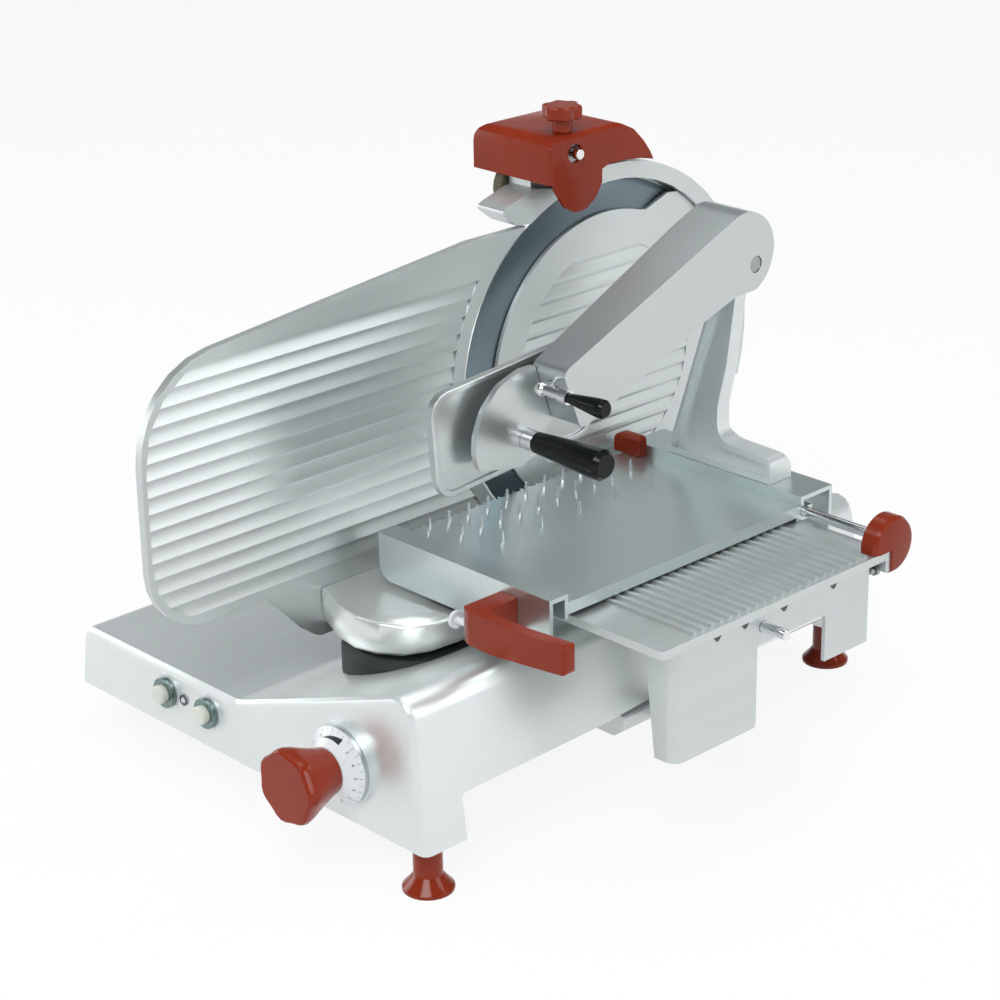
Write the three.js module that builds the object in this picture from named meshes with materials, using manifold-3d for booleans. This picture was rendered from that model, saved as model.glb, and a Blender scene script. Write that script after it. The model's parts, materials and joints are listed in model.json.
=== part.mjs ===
// Vertical-blade meat slicer: a cast base, a ribbed gauge plate, a round blade on a belt drive,
// and a hand-pushed carriage with a spiked meat table and a swinging press arm.
// Millimetres. +X runs from the blade out to the operator's side, +Y runs with the carriage
// towards the rear, +Z is up, and the feet stand at Z = 0. While it is being built, X and Y are
// counted from the front right corner of the base casting.

import * as THREE from 'three';
import { mergeVertices } from 'three/addons/utils/BufferGeometryUtils.js';
import Module from 'manifold-3d';

const wasm = await Module();
wasm.setup();

// Clearances that every fit shares.
const fit = 0.3;
const runningGap = 0.6;
const overrun = 12;
const bite = 0.5;

// Base casting.
const base = {
  width: 494,
  length: 621,
  clearHeight: 43,
  lowTop: 104,
  highTop: 187.5,
  rampStart: -252,
  edgeRadius: 16,
  shoulderRadius: 20,
  wall: 6,
  rearTaper: 32,
  taperStart: 228,
  sideEdge: 85,
  sideEdgeRear: 94.5,
  legLength: 48,
  bossRadius: 17,
};
const sideDraft = Math.tan(THREE.MathUtils.degToRad(7.5));
const frontDraft = Math.tan(THREE.MathUtils.degToRad(1.5));

// Feet: places of their centres, and the turned rubber form.
const foot = { columnRadius: 13, flareRadius: 23, flareHeight: 15, rimHeight: 3 };
const footPlace = {
  frontRight: [-20, 20],
  rearRight: [-68, 604],
  frontLeft: [-450, 128],
  rearLeft: [-450, 592],
};

// Sheet cover under the low side of the base.
const cover = { thickness: 2, right: -112, sideGap: 0.6, rise: 4 };

// Front panel: two push buttons, a lamp, and the graduated thickness dial.
const button = {
  capRadius: 9,
  bezelRadius: 14.8,
  barrelRadius: 11,
  bezelDepth: 5,
  capReach: 12,
  barrelLength: 18,
  padRadius: 18,
  startX: -354,
  stopX: -293,
  height: 78,
};
const lamp = { x: -329, height: 78, radius: 3, reach: 2 };
const dial = {
  x: -101,
  height: 97.5,
  ringRadius: 36,
  rimDepth: 8,
  hubRadius: 21,
  ringDepth: 20,
  padRadius: 38,
  padDepth: 4,
};
const knob = { length: 47, rearRadius: 21, frontRadius: 35, lobeShare: 0.04, lobes: 7 };
const spindle = { radius: 6, rearEnd: 90, knobDepth: 22 };
const cam = { smallRadius: 13, front: 60, thickness: 8, turnDegrees: 330 };

// Slice thickness: travel of the gauge plate away from the blade plane.
const sliceTravel = 15;

// Gauge plate, its carrier head and the slide block below.
const plate = {
  face: -222,
  thickness: 8,
  front: -104,
  rear: 347,
  bottom: 152,
  top: 477,
  ribTop: 439,
  ribPitch: 14.9,
  ribCount: 15,
  ribDepth: 2.6,
  ribLand: 1.2,
  ribMargin: 14,
};
const head = {
  right: -91,
  front: 62,
  rear: 236,
  top: 198,
  bottom: 163,
  stemLeft: -172,
  stemRight: -136,
  stemFront: 112,
  stemRear: 158,
};
const slideBlock = { left: -186, right: -124, front: 100, rear: 170, bottom: 60, top: 88 };
const gaugeRod = { radius: 6, height: 74, frontY: 117, rearY: 153, left: -262, right: -96 };
const rodWeb = { thickness: 8, front: 95, rear: 175, bottom: 58 };
const follower = { front: 58, top: 96.5, bottom: 78, thickness: 7.4, armFront: 70 };
const gaiter = {
  x: -157,
  frontY: 133,
  rearY: 186,
  topRadius: 47,
  midRadius: 60,
  skirtRadius: 66,
  boreRadius: 36,
  midDrop: 5,
  skirtDrop: 14,
};

// Blade, its drive and its guards. The blade turns about an axis along X.
const blade = {
  y: 435.7,
  z: 327.5,
  radius: 174.6,
  bevelRadius: 149,
  left: -222.5,
  right: -216.3,
  bore: 10.3,
  edgeThickness: 0.5,
};
const shaft = { radius: 10, left: -276, hubRadius: 46, hubLeft: -227.4 };
const bearing = { radius: 20, left: -244, right: -229 };
const housing = {
  left: -296,
  right: -228,
  wall: 6,
  drumRadius: 118,
  footFront: 392,
  footRear: 580,
  shoulder: 215,
  bearingBoss: 29,
};
const driveCover = { thickness: 4 };
const motor = {
  y: 505,
  z: 178,
  radius: 52,
  length: 108,
  coverRadius: 62,
  coverWall: 3,
  coverLength: 118,
  shaftRadius: 6,
  finDepth: 4,
  finCount: 4,
};
const pulley = { left: -267, right: -251, flange: 2, flangeRise: 3, bladeRadius: 60, motorRadius: 24 };
const belt = { thickness: 3, sideGap: 1 };
const ring = {
  innerRadius: 177,
  outerRadius: 193,
  plateInner: 60,
  left: -227.7,
  right: -213,
  plateThickness: 3.5,
  lipRight: -205,
  startAngle: 105,
  endAngle: -85,
  lipEndAngle: -18,
};
const bladeCover = {
  left: -215.4,
  thickness: 4,
  radius: 146,
  rearRadius: 176.2,
  openStart: 70,
  openEnd: 288,
  blendAngle: 14,
  ribTop: 433,
  ribPitch: 14.9,
  ribCount: 15,
  ribDepth: 1.8,
  ribLand: 3.5,
  ribRadius: 115,
};

// Sharpener on top of the blade guard.
const bracket = {
  left: -252,
  right: -218,
  lugFront: 306,
  lugBottom: 479,
  lugTop: 511,
  footDepth: 7,
  postLeft: -254,
  postRight: -226,
  postFront: 352,
  postRear: 384,
  postTop: 558.7,
  saddleRear: 432,
  saddleBottom: 505,
  saddleTop: 540,
  bossRight: -196,
  bossFront: 362,
  bossRear: 383,
  bossBottom: 550,
};
const hood = {
  left: -292,
  right: -190,
  front: 343,
  rear: 478,
  top: 563,
  bottom: 520,
  wall: 4,
  cornerRadius: 18,
  holeRadius: 9,
};
const grinder = { y: 367, z: 504.5, radius: 24, left: -268, right: -257, hubRadius: 9, stubRadius: 4 };
const honer = { y: 372, z: 527, radius: 12, left: -212, right: -203, cap: 3 };
const pin = { y: 374, z: 545, radius: 3.5, left: -240, right: -183, headRadius: 5, headLength: 6.5 };
const star = {
  x: -205,
  y: 372.5,
  radius: 19,
  height: 13,
  stemRadius: 9.2,
  stemHeight: 12,
  screwRadius: 3,
  screwLength: 13,
  lobes: 6,
  lobeShare: 0.1,
};

// Carriage: ribbed plate with its apron, arm and guides.
const carriage = {
  left: -160,
  right: 126,
  front: 154,
  rear: 451,
  top: 224,
  thickness: 8,
  ribTop: 227,
  ribWidth: 6,
  ribCount: 21,
  ribFront: 193.8,
  ribPitch: 11.2,
  ribRightMargin: 4,
  flange: 6,
};
const apron = {
  face: 117,
  wall: 4,
  front: 180,
  legRear: 283,
  legBottom: 106,
  panelBottom: 184,
  rearLegFront: 374,
  rearLegRear: 433,
  rearLegBottom: 138,
  legTopLeft: 80,
  legBottomLeft: 93,
  cornerRadius: 11,
  notchWidth: 15,
  notchDrop: 5,
};
const notchPlaces = [222, 257, 308, 373];
const slideRod = { x: -45, z: 71.5, radius: 6 };
const rodLug = { left: -64, right: -34, bottom: 60, top: 94, front: 22, rear: 581 };
const arm = {
  left: -62,
  right: -10,
  front: 250,
  rear: 330,
  bottom: 60,
  top: 83,
  linkFront: 290,
  linkRear: 325,
  linkBottom: 69,
  edge: 6,
  shoeTop: 86,
  columnLeft: 36,
  columnRight: 50,
  shoeWidth: 12,
};
const bushing = { radius: 8.5, length: 24 };
const rail = { left: -64, right: -50, bottom: 86.4, top: 92 };
const lockPin = {
  y: 290,
  z: 200,
  radius: 5,
  left: 88,
  right: 144,
  collarRadius: 6.5,
  collarLength: 8,
  bossRadius: 9,
  bossLeft: 105,
};
const guideRod = { y: 452, z: 233, radius: 5, left: -100, right: 118 };
const endCap = { y: 455, z: 228, radius: 27, left: 110.3, right: 128 };

// Meat table with its rails, comb edge and spikes.
const table = {
  left: -191,
  right: 22,
  front: 124,
  rear: 491,
  deckTop: 237,
  deckThickness: 6,
  railTop: 248,
  skirtBottom: 204,
  frontRail: 22,
  rearRail: 44,
  wall: 4,
  lipWidth: 3,
  lipTop: 240,
  lipBottom: 229,
  innerSkirt: 225,
  blockDepth: 22,
  runnerWidth: 24,
  frontRunner: 205,
  rearRunner: 392,
  cornerRadius: 14,
};
const comb = { reach: 8, pitch: 9.6, count: 28, front: 168, drop: 2, widthShare: 0.85 };
const spike = { height: 11.6, radius: 2, tipRadius: 1.1, pitch: 24.3 };
const spikeRows = [
  { x: -182, front: 177, count: 9, step: spike.pitch },
  { x: -152, front: 189, count: 10, step: spike.pitch },
  { x: -113, front: 202, count: 5, step: 2 * spike.pitch },
];
const railCap = { left: -202, right: -168, depth: 10, top: 257, radius: 12 };
const handle = {
  left: -36,
  right: 92,
  front: 75,
  bottom: 208,
  top: 239,
  tipTop: 243,
};
const clampScrew = { y: 92, z: 216.5, radius: 3.2, discRadius: 8, discThickness: 4, reach: 18, depth: 18 };

// Pillar and press arm.
const pivot = { y: 453, z: 454, radius: 5.5, headRadius: 7.6, sunk: 1 };
const pillar = {
  left: -143,
  right: -14.5,
  front: 449,
  footRear: 479,
  footTop: 284,
  midRear: 466,
  webFront: 456,
  webThickness: 4.5,
  neckLeft: -84,
  neckRight: -47,
  neckFront: 443,
  neckRear: 463,
  neckBottom: 433,
};
const press = {
  left: -92,
  frontLeft: -78,
  right: -40,
  wall: 4,
  front: 207,
  rear: 479,
  bottom: 356,
  top: 509,
  taperRear: 400,
};
const quadrant = {
  right: -74.3,
  thickness: 6,
  hubRadius: 17,
  front: 136,
  rear: 227,
  bottom: 323,
  top: 411,
};
const pusher = {
  left: -98,
  thickness: 5,
  rim: 8,
  rimWidth: 5,
  front: 103,
  rear: 292,
  bottom: 316,
  top: 412,
  tilt: 4.5,
  cornerRadius: 20,
};
const grip = {
  y: 197,
  z: 347,
  ferruleRadius: 9.5,
  ferruleLength: 12,
  radius: 14,
  length: 82,
  studRadius: 5,
  studDepth: 30,
};
const lever = {
  x: -60,
  y: 201,
  z: 395,
  studRadius: 5,
  studEnd: 219,
  ballRadius: 6.5,
  neckRadius: 4.5,
  neckLength: 33,
  collarRadius: 6.4,
  collarLength: 10,
  gripRadius: 8.4,
  gripLength: 43,
  tangRadius: 3,
  tangLength: 16,
};

// Colours of the finishes.
const satin = { color: 0xb9bfbe, roughness: 0.38, metalness: 0.9 };
const polished = { color: 0xd0d2d2, roughness: 0.18, metalness: 1.0 };
const steel = { color: 0x59646c, roughness: 0.3, metalness: 1.0 };
const chrome = { color: 0xe4e6e8, roughness: 0.08, metalness: 1.0 };
const redBrown = { color: 0x97361f, roughness: 0.42, metalness: 0.0 };
const blackPlastic = { color: 0x0d0f10, roughness: 0.3, metalness: 0.0 };
const rubber = { color: 0x121314, roughness: 0.7, metalness: 0.0 };
const white = { color: 0xe9ebea, roughness: 0.4, metalness: 0.0 };
const stone = { color: 0x4d4a3c, roughness: 0.9, metalness: 0.0 };
const castIron = { color: 0x6f7577, roughness: 0.6, metalness: 0.7 };
const bronze = { color: 0xa98346, roughness: 0.4, metalness: 1.0 };
const buttonGreen = { color: 0x9fc4b4, roughness: 0.35, metalness: 0.0 };

const object = new THREE.Group();
const smallSides = 16;
const cornerSteps = 4;
const roomShare = 0.48;
const flareShare = 0.55;
const endShare = 0.75;
const degrees = THREE.MathUtils.degToRad;

// Directions in which an outline's two coordinates and its depth are laid.
const layouts = {
  x: [new THREE.Vector3(0, 1, 0), new THREE.Vector3(0, 0, 1), new THREE.Vector3(1, 0, 0)],
  y: [new THREE.Vector3(1, 0, 0), new THREE.Vector3(0, 0, 1), new THREE.Vector3(0, -1, 0)],
  z: [new THREE.Vector3(1, 0, 0), new THREE.Vector3(0, 1, 0), new THREE.Vector3(0, 0, 1)],
};

function solid(geometry) {
  const bare = geometry.clone();
  bare.deleteAttribute('normal');
  bare.deleteAttribute('uv');
  const merged = mergeVertices(bare);
  const mesh = new wasm.Mesh({
    numProp: 3,
    vertProperties: new Float32Array(merged.attributes.position.array),
    triVerts: new Uint32Array(merged.index.array),
  });
  return new wasm.Manifold(mesh);
}

function joined(...pieces) {
  return pieces.reduce((sum, piece) => sum.add(piece));
}

// The points of an outline given as [a, b, corner radius], with its rounded corners drawn as arcs.
function drawn(points, steps = cornerSteps) {
  const path = [];
  points.forEach(([a, b, radius = 0], index) => {
    const here = new THREE.Vector2(a, b);
    if (radius === 0) {
      path.push(here);
      return;
    }
    const before = points[(index + points.length - 1) % points.length];
    const after = points[(index + 1) % points.length];
    const back = new THREE.Vector2(before[0], before[1]).sub(here);
    const ahead = new THREE.Vector2(after[0], after[1]).sub(here);
    const room = Math.min(back.length(), ahead.length()) * roomShare;
    back.normalize();
    ahead.normalize();
    const half = Math.acos(back.dot(ahead)) / 2;
    const fillet = Math.min(radius, room * Math.tan(half));
    const start = here.clone().addScaledVector(back, fillet / Math.tan(half));
    const bisector = back.clone().add(ahead).normalize();
    const centre = here.clone().addScaledVector(bisector, fillet / Math.sin(half));
    const firstSpoke = start.sub(centre);
    const turn = Math.sign(ahead.cross(back)) * (Math.PI - 2 * half);
    for (let step = 0; step <= steps; step += 1) {
      const spoke = firstSpoke.clone().rotateAround(new THREE.Vector2(0, 0), (turn * step) / steps);
      path.push(centre.clone().add(spoke));
    }
  });
  return path;
}

function outline(points, steps = cornerSteps) {
  return new THREE.Shape(drawn(points, steps));
}

// Shares of a span, laid between its two ends.
function laid(shares, [a0, a1], [b0, b1]) {
  return shares.map(([u, v, w = 0]) => [a0 + u * (a1 - a0), b0 + v * (b1 - b0), w * (b1 - b0)]);
}

function circle(a, b, radius, sides = smallSides) {
  const points = [];
  for (let side = 0; side < sides; side += 1) {
    const angle = (2 * Math.PI * side) / sides;
    points.push(new THREE.Vector2(a + radius * Math.cos(angle), b + radius * Math.sin(angle)));
  }
  return new THREE.Shape(points);
}

// A shape pushed along one axis. On X it is drawn in (Y, Z), on Y in (X, Z), on Z in (X, Y).
function prism(axis, shape, from, to) {
  const depth = to - from;
  const geometry = new THREE.ExtrudeGeometry(shape, { depth, bevelEnabled: false });
  geometry.applyMatrix4(new THREE.Matrix4().makeBasis(...layouts[axis]));
  const start = axis === 'y' ? to : from;
  geometry.translate(axis === 'x' ? start : 0, axis === 'y' ? start : 0, axis === 'z' ? start : 0);
  return solid(geometry);
}

function rod(axis, [a, b], radius, from, to, sides = smallSides) {
  return prism(axis, circle(a, b, radius, sides), from, to);
}

function block(x0, x1, y0, y1, z0, z1) {
  const geometry = new THREE.BoxGeometry(x1 - x0, y1 - y0, z1 - z0);
  geometry.translate((x0 + x1) / 2, (y0 + y1) / 2, (z0 + z1) / 2);
  return solid(geometry);
}

// A profile of [radius, place along the axis] points, turned about an axis through (a, b).
function turned(axis, [a, b], profile, sides = smallSides) {
  const points = profile.map(([radius, along]) => new THREE.Vector2(radius, along));
  const area = points.reduce((sum, point, index) => {
    return sum + point.cross(points[(index + 1) % points.length]);
  }, 0);
  if (area < 0) {
    points.reverse();
  }
  const onAxis = points[0].x === 0 && points[points.length - 1].x === 0;
  const closed = onAxis ? points : [...points, points[0].clone()];
  const geometry = new THREE.LatheGeometry(closed, sides);
  const across = {
    x: [new THREE.Vector3(0, 1, 0), new THREE.Vector3(1, 0, 0), new THREE.Vector3(0, 0, -1)],
    y: [new THREE.Vector3(1, 0, 0), new THREE.Vector3(0, 1, 0), new THREE.Vector3(0, 0, 1)],
    z: [new THREE.Vector3(1, 0, 0), new THREE.Vector3(0, 0, 1), new THREE.Vector3(0, -1, 0)],
  };
  geometry.applyMatrix4(new THREE.Matrix4().makeBasis(...across[axis]));
  const place = { x: [0, a, b], y: [a, 0, b], z: [a, b, 0] };
  geometry.translate(...place[axis]);
  return solid(geometry);
}

// A skin drawn over sections that lie square to one axis, each with as many points as the others.
// The levels of a drafted form also change with height.
function lofted(axis, sections, drafted = (level) => level) {
  const facing = axis === 'y' ? -1 : 1;
  const ordered = [...sections].sort((one, other) => facing * (one.level - other.level));
  const turnsLeft = THREE.ShapeUtils.area(ordered[0].points) > 0;
  const rings = ordered.map(({ level, points }) => {
    const around = turnsLeft ? points : [...points].reverse();
    return around.map(({ x, y }) => [x, y, facing * drafted(level, y)]);
  });
  const positions = [];
  const count = rings[0].length;
  for (let index = 0; index + 1 < rings.length; index += 1) {
    for (let side = 0; side < count; side += 1) {
      const next = (side + 1) % count;
      const corners = [rings[index][side], rings[index][next], rings[index + 1][next]];
      corners.push(rings[index][side], rings[index + 1][next], rings[index + 1][side]);
      corners.forEach((corner) => positions.push(...corner));
    }
  }
  const flat = rings[0].map(([x, y]) => new THREE.Vector2(x, y));
  THREE.ShapeUtils.triangulateShape(flat, []).forEach(([i, j, k]) => {
    [k, j, i].forEach((corner) => positions.push(...rings[0][corner]));
    [i, j, k].forEach((corner) => positions.push(...rings[rings.length - 1][corner]));
  });
  const geometry = new THREE.BufferGeometry();
  geometry.setAttribute('position', new THREE.Float32BufferAttribute(positions, 3));
  geometry.applyMatrix4(new THREE.Matrix4().makeBasis(...layouts[axis]));
  return solid(geometry);
}

function add(name, body, finish) {
  const mesh = body.getMesh();
  const geometry = new THREE.BufferGeometry();
  geometry.setAttribute('position', new THREE.Float32BufferAttribute(mesh.vertProperties, 3));
  geometry.setIndex(new THREE.Uint32BufferAttribute(mesh.triVerts, 1));
  geometry.computeVertexNormals();
  const piece = new THREE.Mesh(geometry, new THREE.MeshStandardMaterial(finish));
  piece.name = name;
  object.add(piece);
}

// Base casting: sections across X, drawn inwards at both ends for the rounded edges.
function baseRight(y) {
  const share = Math.max(0, (y - base.taperStart) / (base.length - base.taperStart));
  return -base.rearTaper * share;
}

function baseSection(y, inset, bottom, steps) {
  const low = base.lowTop - inset;
  const high = base.highTop - inset;
  const lean = (z) => (z - base.clearHeight) * sideDraft;
  const left = -base.width + inset;
  const right = baseRight(y) - inset;
  const edge = Math.max(base.edgeRadius - inset, base.edgeRadius / 4);
  return drawn([
    [left, bottom],
    [left + lean(low), low, edge],
    [base.rampStart, low, base.edgeRadius * 2],
    [right - lean(high), high, Math.max(base.shoulderRadius - inset, edge)],
    [right, bottom],
  ], steps);
}

function baseForm(inset, bottom, steps = cornerSteps - 1) {
  const stations = [];
  for (let step = 0; step <= steps; step += 1) {
    const angle = (Math.PI * step) / (2 * steps);
    const radius = base.edgeRadius / 2;
    stations.push([inset + radius * (1 - Math.cos(angle)), inset + radius * (1 - Math.sin(angle))]);
  }
  const rear = stations.map(([y, draw]) => [base.length - y, draw]).reverse();
  const all = [...stations, [base.taperStart, inset], ...rear];
  const sections = all.map(([y, draw]) => ({ level: y, points: baseSection(y, draw, bottom, steps + 1) }));
  return lofted('y', sections, (level, height) => {
    const rise = (height - base.clearHeight) * frontDraft;
    return level + rise * (1 - (2 * level) / base.length);
  });
}

const baseOuter = baseForm(0, base.clearHeight);
const baseInner = baseForm(base.wall, base.clearHeight - overrun, 1);
const baseClearance = baseForm(-fit, base.clearHeight);

// A spiral of the cam that pushes the gauge plate back as the dial turns.
function spiral() {
  const steps = 33;
  const points = [];
  for (let step = 0; step <= steps; step += 1) {
    const angle = Math.PI + degrees(cam.turnDegrees) * (step / steps);
    const radius = cam.smallRadius + sliceTravel * (step / steps);
    const x = dial.x + radius * Math.cos(angle);
    points.push(new THREE.Vector2(x, dial.height + radius * Math.sin(angle)));
  }
  return new THREE.Shape(points);
}

const buttonPlaces = [['start', button.startX], ['stop', button.stopX]];

function baseCasting() {
  const { frontRight, rearRight, frontLeft, rearLeft } = footPlace;
  const inside = (piece) => piece.intersect(baseOuter);
  const bosses = [frontRight, rearRight, frontLeft, rearLeft].map((place) => {
    const top = place === frontLeft || place === rearLeft ? base.lowTop : base.highTop;
    return inside(rod('z', place, base.bossRadius, base.clearHeight, top - base.wall / 2));
  });
  const rearWebs = [rearRight, rearLeft].map(([x]) => {
    const half = base.wall;
    return block(x - half, x + half, rearRight[1], base.length - bite, base.clearHeight, base.lowTop - bite);
  });
  const lugs = [
    block(rodLug.left, rodLug.right, base.wall / 2, rodLug.front, rodLug.bottom, rodLug.top),
    block(rodLug.left, rodLug.right, rodLug.rear, base.length - base.wall, rodLug.bottom, rodLug.top),
  ];
  const rodWebs = [gaugeRod.left, gaugeRod.right - rodWeb.thickness].map((left) => {
    const web = block(left, left + rodWeb.thickness, rodWeb.front, rodWeb.rear, rodWeb.bottom, base.highTop);
    return inside(web);
  });
  const dialPad = rod('y', [dial.x, dial.height], dial.padRadius, -dial.padDepth, base.wall, 36);
  const buttonPads = buttonPlaces.map(([, x]) => {
    return rod('y', [x, button.height], button.padRadius, 0, base.wall);
  });
  const shell = baseOuter.subtract(baseInner);
  let casting = joined(shell, ...bosses, ...rearWebs, ...lugs, ...rodWebs, dialPad, ...buttonPads);

  const sideOpening = outline([
    [base.legLength, base.clearHeight - overrun],
    [base.legLength, base.sideEdge, base.edgeRadius / 4],
    [footPlace.rearRight[1], base.sideEdgeRear],
    [footPlace.rearRight[1], base.clearHeight - overrun],
  ]);
  const rearLug = block(rodLug.left, rodLug.right, rodLug.rear, base.length, 0, base.highTop);
  const opening = prism('x', sideOpening, rodLug.left, overrun)
    .subtract(joined(rod('z', rearRight, base.bossRadius, 0, base.highTop), rearLug));
  casting = casting.subtract(opening);
  const rearCorner = block(rearRight[0], overrun, rearRight[1], base.length + overrun,
    base.clearHeight - overrun, base.sideEdgeRear)
    .subtract(rod('z', rearRight, base.bossRadius, 0, base.highTop))
    .subtract(block(rodLug.left, rodLug.right, rearRight[1], base.length, rodLug.bottom, rodLug.top));
  casting = casting.subtract(rearCorner);

  const rodEnd = [slideRod.x, slideRod.z];
  casting = casting.subtract(rod('y', rodEnd, slideRod.radius + fit, base.wall + 2 * fit, rodLug.front + overrun));
  casting = casting.subtract(
    rod('y', rodEnd, slideRod.radius + fit, rodLug.rear - overrun, base.length - 2 * base.wall),
  );
  [gaugeRod.frontY, gaugeRod.rearY].forEach((y) => {
    const hole = rod('x', [y, gaugeRod.height], gaugeRod.radius + fit,
      gaugeRod.left + 2 * fit, gaugeRod.right + overrun);
    casting = casting.subtract(hole);
  });
  casting = casting.subtract(
    rod('y', [dial.x, dial.height], spindle.radius + fit, -overrun, base.wall + overrun),
  );
  buttonPlaces.forEach(([, x]) => {
    casting = casting.subtract(
      rod('y', [x, button.height], button.barrelRadius + fit, -overrun, base.wall + overrun),
    );
  });
  casting = casting.subtract(
    rod('y', [lamp.x, lamp.height], lamp.radius + fit, -overrun, base.wall + overrun),
  );
  const slotGap = 2 * overrun / 10;
  const slot = block(
    head.stemLeft - sliceTravel - slotGap, head.stemRight + slotGap,
    head.stemFront - slotGap, head.stemRear + slotGap,
    slideBlock.top, base.highTop + overrun,
  );
  return casting.subtract(slot);
}

add('base_casting', baseCasting(), satin);

// Feet: a flared disc under a plain column.
function footForm(place) {
  return turned('z', place, [
    [0, 0],
    [foot.flareRadius, 0],
    [foot.flareRadius, foot.rimHeight],
    [(foot.flareRadius + foot.columnRadius) / 2, foot.flareHeight * flareShare],
    [foot.columnRadius, foot.flareHeight],
    [foot.columnRadius, base.clearHeight - fit],
    [0, base.clearHeight - fit],
  ], 24);
}
add('foot_front_right', footForm(footPlace.frontRight), redBrown);
add('foot_front_left', footForm(footPlace.frontLeft), redBrown);
add('foot_rear_right', footForm(footPlace.rearRight), redBrown);
add('foot_rear_left', footForm(footPlace.rearLeft), redBrown);

// Sheet that closes the underside on the blade side, let in round the foot bosses.
function baseCover() {
  const bottom = base.clearHeight + cover.rise;
  let sheet = baseForm(base.wall + cover.sideGap, base.clearHeight - overrun, 1)
    .intersect(block(-base.width, cover.right, 0, base.length, bottom, bottom + cover.thickness));
  [footPlace.frontLeft, footPlace.rearLeft].forEach((place) => {
    sheet = sheet.subtract(rod('z', place, base.bossRadius + fit, 0, base.highTop));
  });
  const [webX, webY] = footPlace.rearLeft;
  return sheet.subtract(block(webX - base.wall - fit, webX + base.wall + fit, webY, base.length,
    base.clearHeight, base.lowTop));
}
add('base_cover', baseCover(), castIron);

// Push buttons, their bezels and the pilot lamp.
function bezel(x) {
  return turned('y', [x, button.height], [
    [button.capRadius + fit, -button.bezelDepth],
    [button.bezelRadius - fit, -button.bezelDepth],
    [button.bezelRadius, -button.bezelDepth + 1.5 * fit],
    [button.bezelRadius, -fit],
    [button.barrelRadius, -fit],
    [button.barrelRadius, button.barrelLength],
    [button.capRadius + fit, button.barrelLength],
  ]);
}
function cap(x) {
  const edge = button.capRadius / 6;
  return turned('y', [x, button.height], [
    [0, -button.capReach],
    [button.capRadius - edge, -button.capReach],
    [button.capRadius, -button.capReach + edge],
    [button.capRadius, button.barrelLength - button.bezelDepth],
    [0, button.barrelLength - button.bezelDepth],
  ]);
}
buttonPlaces.forEach(([name, x]) => {
  add(`${name}_bezel`, bezel(x), chrome);
  add(`${name}_button`, cap(x), buttonGreen);
});
add('pilot_lamp', turned('y', [lamp.x, lamp.height], [
  [0, -lamp.reach],
  [lamp.radius * 0.7, -lamp.reach * 0.8],
  [lamp.radius, 0],
  [lamp.radius, base.wall + lamp.radius],
  [0, base.wall + lamp.radius],
], 12), white);

// Thickness dial: graduated ring, lobed knob, and the spindle with its spiral cam.
const knobRear = -dial.ringDepth - fit;
const spindleFront = knobRear - spindle.knobDepth;
function dialRing() {
  return turned('y', [dial.x, dial.height], [
    [spindle.radius + fit, -dial.padDepth - fit],
    [dial.ringRadius, -dial.padDepth - fit],
    [dial.ringRadius, -dial.rimDepth],
    [dial.hubRadius, -dial.ringDepth],
    [spindle.radius + fit, -dial.ringDepth],
  ], 36);
}
function dialKnob() {
  const radiusShares = [0, 0.12, 0.5, 0.86, 1, 0.97, 0.84];
  const lobeShares = [0, 0, 0.4, 0.8, 1, 1, 0.9];
  const depthShares = [0, 0.14, 0.45, 0.7, 0.86, 0.96, 1];
  const sides = knob.lobes * 5;
  const sections = depthShares.map((share, index) => {
    const radius = knob.rearRadius + (knob.frontRadius - knob.rearRadius) * radiusShares[index];
    const points = [];
    for (let side = 0; side < sides; side += 1) {
      const angle = (2 * Math.PI * side) / sides;
      const lobe = 1 - knob.lobeShare * lobeShares[index] * (1 - Math.cos(knob.lobes * angle));
      points.push(new THREE.Vector2(
        dial.x + radius * lobe * Math.cos(angle),
        dial.height + radius * lobe * Math.sin(angle),
      ));
    }
    return { level: knobRear - knob.length * share, points };
  });
  const bore = rod('y', [dial.x, dial.height], spindle.radius + fit, spindleFront - fit, overrun);
  return lofted('y', sections).subtract(bore);
}
function camSpindle() {
  const bar = rod('y', [dial.x, dial.height], spindle.radius, spindleFront, spindle.rearEnd);
  return bar.add(prism('y', spiral(), cam.front, cam.front + cam.thickness));
}
add('dial_ring', dialRing(), white);
add('dial_knob', dialKnob(), redBrown);
add('cam_spindle', camSpindle(), castIron);

// Gauge guide rods, the slide block with its cam follower, and the carrier head.
[['front', gaugeRod.frontY], ['rear', gaugeRod.rearY]].forEach(([name, y]) => {
  const bar = rod('x', [y, gaugeRod.height], gaugeRod.radius, gaugeRod.left + 3 * fit, gaugeRod.right);
  add(`gauge_rod_${name}`, bar, chrome);
});

function gaugeSlideBlock() {
  const faceX = dial.x - cam.smallRadius - runningGap;
  const body = prism('z', outline([
    [slideBlock.left, slideBlock.front, 6 * fit],
    [slideBlock.right, slideBlock.front],
    [slideBlock.right, slideBlock.rear, 6 * fit],
    [slideBlock.left, slideBlock.rear, 6 * fit],
  ]), slideBlock.bottom, slideBlock.top);
  const wrist = block(slideBlock.right - 2 * follower.thickness, faceX, follower.armFront,
    slideBlock.front + bite, follower.bottom, slideBlock.top);
  const finger = block(faceX - follower.thickness, faceX, follower.front, follower.armFront + bite,
    follower.bottom, follower.top);
  let form = joined(body, wrist, finger);
  [gaugeRod.frontY, gaugeRod.rearY].forEach((y) => {
    form = form.subtract(rod('x', [y, gaugeRod.height], gaugeRod.radius + fit,
      slideBlock.left - overrun, slideBlock.right + overrun));
  });
  return form;
}
add('gauge_slide_block', gaugeSlideBlock(), castIron);

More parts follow.
